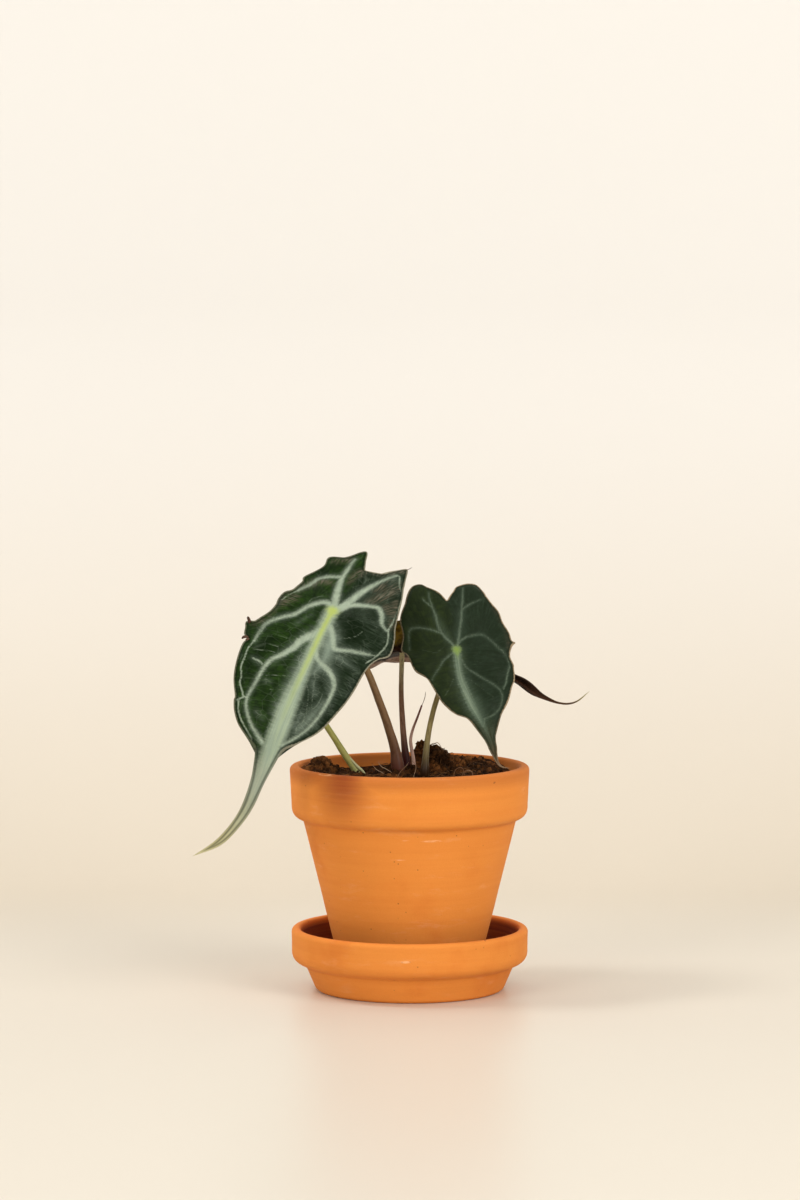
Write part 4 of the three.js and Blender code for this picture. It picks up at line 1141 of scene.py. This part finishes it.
def stalk_effect():
    """A stalk's colour: from its foot's to its top's along the way, with long streaks and mottles."""
    group, given, result = effect("Leaf stalk", {
        "Place": ORIGIN, "Foot": rgb(70, 38, 36), "Middle": rgb(90, 60, 40), "Top": rgb(110, 85, 60),
        "Mottle": rgb(60, 40, 30), "Middle Place": 0.6,
    }, ("Colour", "Height"))
    along, around, run = parts(group, given["Place"])
    from_middle = maths(group, "SUBTRACT", along, given["Middle Place"])
    turn = times(group, around, 2 * math.pi)
    on_skin = joined(group, maths(group, "COSINE", turn), maths(group, "SINE", turn), times(group, run, 0.16))
    streaks = cloud(group, on_skin, 2.6, 3, 0.6)
    mottles = cloud(group, stretched(group, on_skin, (1, 1, 5)), 2.2, 4, 0.6)
    colour = layered(
        group, given["Foot"], (fade(group, from_middle, -0.4, 0.0), given["Middle"]),
        (fade(group, from_middle, 0.0, 0.36), given["Top"]),
        (fade(group, streaks, 0.45, 0.75, 0, 0.55), given["Mottle"]),
        (fade(group, mottles, 0.55, 0.75, 0, 0.3), given["Mottle"]))
    return put_out(group, result, Colour=colour, Height=plus(group, streaks, mottles))


def peat_effect():
    """Moist peat: dark, with rusty clods and paler grains."""
    group, given, result = effect("Moist peat", {
        "Place": ORIGIN, "Dark": rgb(36, 20, 8), "Light": rgb(116, 68, 32), "Grain": rgb(146, 92, 48),
        "Light Amount": 0.7,
    }, ("Colour", "Height"))
    grain = cloud(group, given["Place"], 900, 4, 0.65)
    clods = cloud(group, given["Place"], 170, 4, 0.6)
    colour = layered(
        group, given["Dark"], (fade(group, clods, 0.42, 0.72, 0, given["Light Amount"]), given["Light"]),
        (fade(group, grain, 0.58, 0.76, 0, given["Light Amount"]), given["Grain"]))
    return put_out(group, result, Colour=colour, Height=grain)


def fibre_effect():
    """Dry plant fibre: one colour drifts into another from one fibre to the next, over a fine grain."""
    group, given, result = effect("Dry fibre", {
        "Place": ORIGIN, "First": rgb(60, 40, 24), "Second": rgb(120, 90, 60),
    }, ("Colour", "Height"))
    drift = fade(group, cloud(group, given["Place"], 140, 2), 0.35, 0.65)
    return put_out(group, result, Colour=layered(group, given["First"], (drift, given["Second"])),
                   Height=cloud(group, given["Place"], 2500, 2))


def soft_mark_effect():
    """A soft ellipsoid round a centre: full within its core, fading to nothing at its half sizes."""
    group, given, result = effect("Soft mark", {
        "Place": ORIGIN, "Centre": ORIGIN, "Half Sizes": (0.01, 0.01, 0.01), "Core": 0.4, "Most": 1.0,
    }, ("Mask",))
    away = vector_maths(group, "SUBTRACT", given["Place"], given["Centre"])[0]
    away = vector_maths(group, "DIVIDE", away, given["Half Sizes"])[0]
    away = vector_maths(group, "LENGTH", away)["Value"]
    return put_out(group, result, Mask=fade(group, away, 1.0, given["Core"], 0.0, given["Most"]))


CLAY, LEAF, STALK = fired_clay_effect(), leaf_effect(), stalk_effect()
PEAT, FIBRE, SOFT_MARK = peat_effect(), fibre_effect(), soft_mark_effect()


# Materials

# Marks on the clay: (centre, half sizes) in metres
# Painted shade: the big leaf's shadow on the band at front left, and the soil-stained inner wall at back
# right
POT_SHADE_AND_STAIN = [
    ((-0.0245, -0.0375, 0.0845), (0.0165, 0.024, 0.025)), ((0.021, 0.0305, 0.0805), (0.022, 0.013, 0.0045)),
]
POT_CHALK_AND_HIGHLIGHT = [
    ((-0.0016, -0.039, 0.0609), (0.0018, 0.002, 0.0004)), ((0.0085, -0.038, 0.0606), (0.0055, 0.003, 0.0005)),
    ((0.0205, -0.036, 0.0832), (0.0022, 0.002, 0.0007)), ((-0.004, -0.0355, 0.0535), (0.004, 0.003, 0.0003)),
    # A painted highlight along the rim's front left lip
    ((-0.0295, -0.031, 0.0842), (0.009, 0.004, 0.0004)),
]
POT_DIRT = [
    ((-0.0262, -0.0255, 0.0375), (0.0004, 0.001, 0.0004)),
    ((0.031, -0.0315, 0.0815), (0.0008, 0.002, 0.0005)),
]
SAUCER_CHALK = [
    ((-0.0017, -0.0445, 0.017), (0.0024, 0.0015, 0.0006)), ((0.006, -0.0395, 0.0106), (0.012, 0.002, 0.0003)),
]
SAUCER_DIRT = [((0.0277, -0.033, 0.0228), (0.0006, 0.0014, 0.0015))]


def ellipsoids(tree, place, shapes, core=0.4, most=1.0):
    """The strongest of the soft marks of (centre, half sizes) in metres."""
    masks = [use(tree, SOFT_MARK, Place=place, Centre=centre, Half_Sizes=size, Core=core, Most=most)["Mask"]
             for centre, size in shapes]
    return greatest(tree, *masks)


def pot_stains_and_painted_shade(tree):
    """Stains of water and peat on the pot's top few millimetres and its foot, and two patches of painted
    shade: the big leaf's painted shadow on the band, and painted shade over soil stains inside.
    """
    place = object_place(tree)
    height = parts(tree, place)[2]
    ring = fade(tree, height, 0.0775, 0.0828, 0.0, 0.46)
    foot = fade(tree, height, 0.03, 0.01, 0.0, 0.14)
    return greatest(tree, ring, foot, ellipsoids(tree, place, POT_SHADE_AND_STAIN, 0.0, 0.97))


def saucer_painted_shade(tree):
    """Where painted shade darkens the saucer's inner face, as its points carry it."""
    return attribute(tree, "painted_inner_shade", "Fac")


def marked(tree, place, marks):
    """The marks' ellipsoids, broken up by level noise."""
    broken = fade(tree, drawn_out(tree, place, (300, 300, 1500)), 0.35, 0.6)
    return times(tree, ellipsoids(tree, place, marks), broken)


def clay_material(name, stain_and_shade, chalk_and_highlight, dirt, **differences):
    """Matt porous clay with masked stains and painted shade, chalky marks, a painted highlight and dirt."""
    made, tree, shader = material(name)
    place = object_place(tree)
    out = use(tree, CLAY, Place=place, Stain_Mask=stain_and_shade(tree), Chalk_Mask=marked(tree, place, chalk_and_highlight),
              Dirt_Mask=marked(tree, place, dirt), **differences)
    finish_surface(tree, shader, out["Colour"], out["Roughness"], 0.3, out["Height"], 0.35, 0.0003)
    return made


def leaf_material(name, gloss=0.42, shine=0.05, **differences):
    """Waxy leaf skin, a little duller on its veins."""
    made, tree, shader = material(name)
    out = use(tree, LEAF, Place=attribute(tree, "leaf_place"), Gaps=attribute(tree, "leaf_gaps"),
              Flow=attribute(tree, "leaf_flow"), Marks=attribute(tree, "leaf_marks"),
              Shade=attribute(tree, "leaf_shade", "Fac"), **differences)
    roughness = fade(tree, out["Vein Mask"], 0.0, 1.0, gloss, gloss + 0.14)
    finish_surface(tree, shader, out["Colour"], roughness, shine, out["Height"], 0.4, 0.0004)
    return made


def plain_material(name, group, place_on, roughness, specular, relief, distance, **differences):
    """A material of one effect at the places that place_on(tree) gives, with one roughness all over."""
    made, tree, shader = material(name)
    out = use(tree, group, Place=place_on(tree), **differences)
    finish_surface(tree, shader, out["Colour"], roughness, specular, out["Height"], relief, distance)
    return made


def along_stalk(tree):
    """The share of the way, the share of the turn and the length, as a stalk's points carry them."""
    return attribute(tree, "stalk_place")


def stalk_material(name, **differences):
    """Smooth plant skin."""
    return plain_material(name, STALK, along_stalk, 0.42, 0.15, 0.2, 0.0002, **differences)


def soil_material(name, **differences):
    """Moist peat, quite dull."""
    return plain_material(name, PEAT, object_place, 0.92, 0.06, 0.8, 0.0006, **differences)


def fibre_material(name, first, second):
    """Dry plant fibre between two colours."""
    return plain_material(name, FIBRE, object_place, 0.8, 0.2, 0.3, 0.0001, First=first, Second=second)


# The object

saucer_wall = turned_clay(SAUCER_CORNERS, SAUCER_SEED)
wall_height = saucer_wall[1:-1, :, 2]
past_rim = np.arange(len(wall_height)) > wall_height.mean(axis=1).argmax()
# Painted shade: the saucer's inner face past its rim, below its top, darkens to a deep brown
painted_inner_shade = past_rim[:, None] * smoothstep(22.8, 20.5, wall_height)
saucer_clay = clay_material("Saucer clay", saucer_painted_shade, SAUCER_CHALK, SAUCER_DIRT, Stain=rgb(120, 52, 16),
                            Banding=0.2, Bloom_Amount=0.24)
add_piece("saucer_turned", [closed_skin(saucer_wall[1:-1], saucer_wall[0, :1], saucer_wall[-1, :1])],
          saucer_clay, "saucer", {"painted_inner_shade": np.append(painted_inner_shade, [0, 1])})
pot_clay = clay_material("Pot clay", pot_stains_and_painted_shade, POT_CHALK_AND_HIGHLIGHT, POT_DIRT, Banding=0.18, Bloom_Amount=0.3)
add_piece("pot_turned", [closed_skin(turned_clay(POT_CORNERS, POT_SEED))], pot_clay, "pot")

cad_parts["corm"].data.materials.clear()
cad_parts["corm"].data.materials.append(fibre_material("Corm skin", rgb(70, 44, 28), rgb(110, 78, 52)))

add_piece("soil_bed", [soil_bed()], soil_material("Peat"), "soil")
generator = np.random.default_rng(SOIL_SEED)
crumb_peat = soil_material("Peat crumbs", Dark=rgb(46, 26, 11), Light=rgb(132, 84, 43), Light_Amount=0.85)
add_piece("soil_crumbs", loose_crumbs(generator), crumb_peat)
add_piece("soil_fibres", loose_fibres(generator),
          fibre_material("Dark coir", rgb(52, 32, 16), rgb(122, 82, 46)))
# Pale fibres that arch out of the soil, each as its route and its radius
PALE_FIBRES = [
    ([(0.5, -12, 87.6), (2, -12, 86.1), (2.3, -12, 84.6), (2, -12, 83.1), (1.6, -12, 82),
      (1.5, -12.5, 80.5)], 0.12),
    ([(-0.3, -12, 86.8), (-1.4, -12, 85.3), (-2.9, -12, 83.8), (-4, -12, 82.3), (-4.6, -12, 81)], 0.12),
    ([(-11.8, -6, 86.2), (-10.7, -6, 84.6), (-8.8, -6, 83.5), (-7, -6, 82.4), (-6, -6, 81.5)], 0.1),
    ([(-14.1, -6, 85.4), (-12.6, -6, 83.5), (-10.7, -6, 82.4), (-9, -6, 81.4)], 0.08),
    ([(16, -20, 82), (16.7, -20, 84.4), (17.5, -20, 85.3), (18.6, -20, 85.7), (19.7, -20, 85.1),
      (20.4, -20, 82)], 0.13),
    ([(19.5, -20, 82), (19.7, -20, 83.6), (20.8, -20, 84.4), (21.9, -20, 84.6), (23, -20, 84),
      (23.6, -20, 81.8)], 0.13),
    ([(7, 17, 88.9), (8.1, 17, 90), (9.3, 17, 90.4), (10.4, 17, 91), (11.5, 17, 90), (12.3, 17, 88.5),
      (13.1, 17, 87), (13.8, 17, 85)], 0.12),
    ([(7.8, 17, 89.6), (8.9, 17, 89.6), (9.7, 17, 88.5), (9.3, 17, 87)], 0.1),
]
add_piece("pale_fibres", [thread(route, radius, around=6) for route, radius in PALE_FIBRES],
          fibre_material("Pale coir", rgb(120, 86, 60), rgb(188, 158, 128)))
add_piece("root_curls", curled_roots(generator),
          fibre_material("Root curls", rgb(48, 30, 16), rgb(112, 76, 44)))

GREENS = {
    "large": leaf_material("Large leaf", 0.36, Vein_Spread=0.22, Softness=0.7),
    "middle": leaf_material(
        "Middle leaf", Green=rgb(37, 47, 22), Blue=rgb(33, 44, 30), Dark=rgb(23, 32, 17),
        Haze=rgb(88, 103, 86), Vein=rgb(92, 104, 86), Midrib=rgb(118, 131, 110), Joint=rgb(118, 140, 70),
        Dry=rgb(84, 72, 56), Margin=rgb(160, 140, 112), Tip=rgb(42, 42, 22), Tip_End=rgb(120, 92, 68),
        Margin_Width=0.6, Near_Reach=1.4, Near_Amount=0.25, Streak_Amount=0.12, Network_Amount=0.25,
        Joint_Reach=3.0, Joint_Width=0.4, Joint_Spot=1.9, Tip_Start=31.0, Tip_Length=22.0),
    # On the back leaf, Under Left is a painted glow of light through it and Under Right a painted sheen
    "back": leaf_material(
        "Back leaf", shine=0.03, Dark=rgb(16, 9, 5), Under=rgb(16, 6, 3), Under_Vein=rgb(60, 38, 26),
        Under_Left=rgb(128, 108, 34), Under_Right=rgb(168, 140, 122), Margin=rgb(138, 116, 98),
        Tip=rgb(82, 58, 44), Tip_End=rgb(176, 174, 118), Margin_Width=0.4, Near_Reach=1.2, Near_Amount=0.35,
        Streak_Amount=0.12, Joint_Reach=4.0, Joint_Width=0.5, Joint_Spot=1.6, Tip_Start=46.0,
        Tip_Length=38.0, Softness=0.35),
    "small": leaf_material(
        "Small leaf", Green=rgb(40, 66, 28), Blue=rgb(44, 66, 38), Dark=rgb(28, 44, 20), Margin_Width=0.5,
        Near_Reach=1.0, Near_Amount=0.35, Streak_Amount=0.1, Joint_Reach=3.0, Joint_Width=0.4, Joint_Spot=1.0,
        Tip_Start=22.0, Tip_Length=12.0, Softness=0.25),
}
# Each stalk's hue, its colours at the foot, middle and top and in its mottles, and its middle's place
STALK_HUES = {
    "large": ("brown", rgb(82, 42, 31), rgb(122, 92, 61), rgb(154, 130, 86), rgb(64, 36, 22), 0.6),
    # The back stalk's top is its pale olive raised further as a painted highlight
    "back": ("purple", rgb(54, 8, 10), rgb(158, 119, 92), rgb(255, 250, 196), rgb(44, 12, 10), 0.69),
    "middle": ("olive", rgb(40, 20, 6), rgb(156, 140, 90), rgb(176, 162, 104), rgb(66, 44, 22), 0.64),
    "small": ("green", rgb(166, 166, 110), rgb(166, 161, 88), rgb(164, 163, 88), rgb(108, 106, 50), 0.5),
}
for number, (name, leaf) in enumerate(LEAVES.items()):
    skin, values = blade(leaf, BLADE_SEED + 3 * number)
    add_piece("leaf_" + name, [skin], GREENS[name], "blade_" + name, values)
    hue, foot, middle, top, mottle, middle_place = STALK_HUES[name]
    plant_skin = stalk_material(hue.capitalize() + " stalk", Foot=foot, Middle=middle, Top=top, Mottle=mottle,
                                Middle_Place=middle_place)
    skin, values = stalk(STALKS[name], STALK_SEED + number)
    add_piece("stalk_" + name, [skin], plant_skin, "petiole_" + name, values)
skin, values = stalk(SHOOT, SHOOT_SEED, sides=16, groove=0.35)
shoot_skin = stalk_material("Shoot skin", Foot=rgb(200, 160, 140), Middle=rgb(240, 200, 178),
                            Top=rgb(134, 80, 68), Mottle=rgb(128, 76, 64), Middle_Place=0.55)
add_piece("rolled_shoot", [skin], shoot_skin, "new_shoot", values)


def from_margin(leaf, u, v, *steps):
    """A route in mm that starts on a leaf at (u, v) and goes on by each (x, y, z) step from there."""
    start = blade_surface(LEAVES[leaf], np.array([float(u)]), np.array([float(v)]), np.array([-0.1]))
    return np.vstack([start, start + np.array(steps, float)])


# Dried spurs on the big leaf's margin, each as its route and its radius
SPURS = [
    (from_margin("large", 16.2, -26.2, (0, 0, 0.9), (-0.3, 0, 1.8), (-0.6, 0.2, 2.6)), 0.6),
    (from_margin("large", 22.3, -24.2, (-0.9, 0, 0.2), (-1.8, 0, 0.1), (-2.5, 0.1, -0.5)), 0.55),
    (from_margin("large", 22.9, -23.6, (-0.8, 0, -0.1), (-1.5, 0, -0.5)), 0.4),
    (from_margin("large", -36.6, 11.4, (0.5, 0, 0.2), (1.3, 0, 0.5), (2.4, 0, 1.1)), 0.13),
]
dried = fibre_material("Dry leaf edge", rgb(66, 44, 32), rgb(118, 92, 72))
add_piece("dry_spurs", [thread(route, radius, around=7) for route, radius in SPURS], dried)
hair_route = np.array(SHOOT[-1][:3]) + np.array([(-0.3, 0, -0.9), (0.9, 0, 2.2), (1.3, 0, 4.8)])
add_piece("shoot_hair", [thread(hair_route, 0.13, around=6)], dried)
sheath_route = [(-22.6, 5, 86.6), (-21, 4.3, 84.7), (-19.4, 3.8, 83.1), (-17.9, 3.4, 81.9), (-16.5, 3, 80.4)]
add_piece("stalk_sheath", [thread(sheath_route, 0.55, around=12, steps=24, taper=0.08)],
          stalk_material("Pale sheath", Foot=rgb(182, 180, 134), Mottle=rgb(138, 132, 84)))


# Stage, light and camera

def stage_sweep():
    """A floor that curves up into a wall: straight, a quarter circle, straight up, in mm.

    The floor also goes on behind the wall, a little lower."""
    floor_end, radius, wall, far, lower = 230, 260, 2600, 3000, -0.5
    turn = np.linspace(0, np.pi / 2, 40)
    y = np.concatenate([[-far], floor_end + radius * np.sin(turn), [floor_end + radius], [floor_end, far]])
    z = np.concatenate([[0], radius * (1 - np.cos(turn)), [wall], [lower, lower]])
    x = np.array([-far, far])
    points = np.stack(np.broadcast_arrays(x[None, :], y[:, None], z[:, None]), axis=-1).reshape(-1, 3)
    low = 2 * np.append(np.arange(len(y) - 3), len(y) - 2)
    return points, np.stack([low, low + 1, low + 3, low + 2], axis=-1)


def board_material():
    """Matt card: a wall warm at its foot and paler above, the darker foot being painted shade, a floor
    between the two, a see-through back.

    The wall's back is hidden so that it never stands between a camera and the object."""
    made, tree, shader = material("Cream board")
    place = parts(tree, object_place(tree))
    # Painted shade: the wall darker and warmer towards its foot, where less light reaches
    colour = layered(tree, rgb(214, 202, 183), (fade(tree, place[2], -0.05, 0.28), rgb(233, 230, 225)))
    colour = layered(tree, rgb(215, 207, 193), (fade(tree, place[1], 0.08, 0.28), colour))
    finish_surface(tree, shader, colour, 0.34, 0.2)
    behind = node(tree, "ShaderNodeNewGeometry").outputs["Backfacing"]
    clear = node(tree, "ShaderNodeBsdfTransparent").outputs[0]
    shown = node(tree, "ShaderNodeMixShader", {0: behind, 1: shader.outputs[0], 2: clear}).outputs[0]
    tree.links.new(shown, tree.nodes["Material Output"].inputs["Surface"])
    return made


def soft_light(name, place, sides, watts):
    """A lamp with two sides in metres, aimed at the plant."""
    data = bpy.data.lights.new(name, "AREA")
    data.shape, data.size, data.size_y = "RECTANGLE", *sides
    data.energy, data.color = watts, LAMP_COLOUR
    lamp = in_scene(name, data)
    lamp.location = place
    x, y, z = np.subtract(LAMP_TARGET, place).tolist()
    lamp.rotation_euler = (math.atan2(math.hypot(x, y), -z), 0, math.atan2(-x, y))


sweep_points, sweep_faces = stage_sweep()
sweep = in_scene("sweep", smooth_mesh("sweep", sweep_points, sweep_faces.tolist(), board_material()))
for lamp_row in LAMPS:
    soft_light(*lamp_row)

world = bpy.data.worlds.new("studio")
world.use_nodes = True
background = world.node_tree.nodes["Background"]
background.inputs["Color"].default_value = (*LAMP_COLOUR, 1)
seen = node(world.node_tree, "ShaderNodeLightPath").outputs["Is Camera Ray"]
feed(world.node_tree, background.inputs["Strength"],
     fade(world.node_tree, seen, 0.0, 1.0, STUDIO_LIGHT, STUDIO_SEEN))
bpy.context.scene.world = world
bpy.context.scene.view_settings.view_transform = "Standard"

camera_data = bpy.data.cameras.new("camera")
camera_data.lens, camera_data.sensor_width = CAMERA_LENS, CAMERA_SENSOR
camera = in_scene("camera", camera_data)
camera.location = [number * MM for number in CAMERA_PLACE]
camera.rotation_euler = (math.radians(90 - CAMERA_TILT), 0, 0)
bpy.context.scene.camera = camera
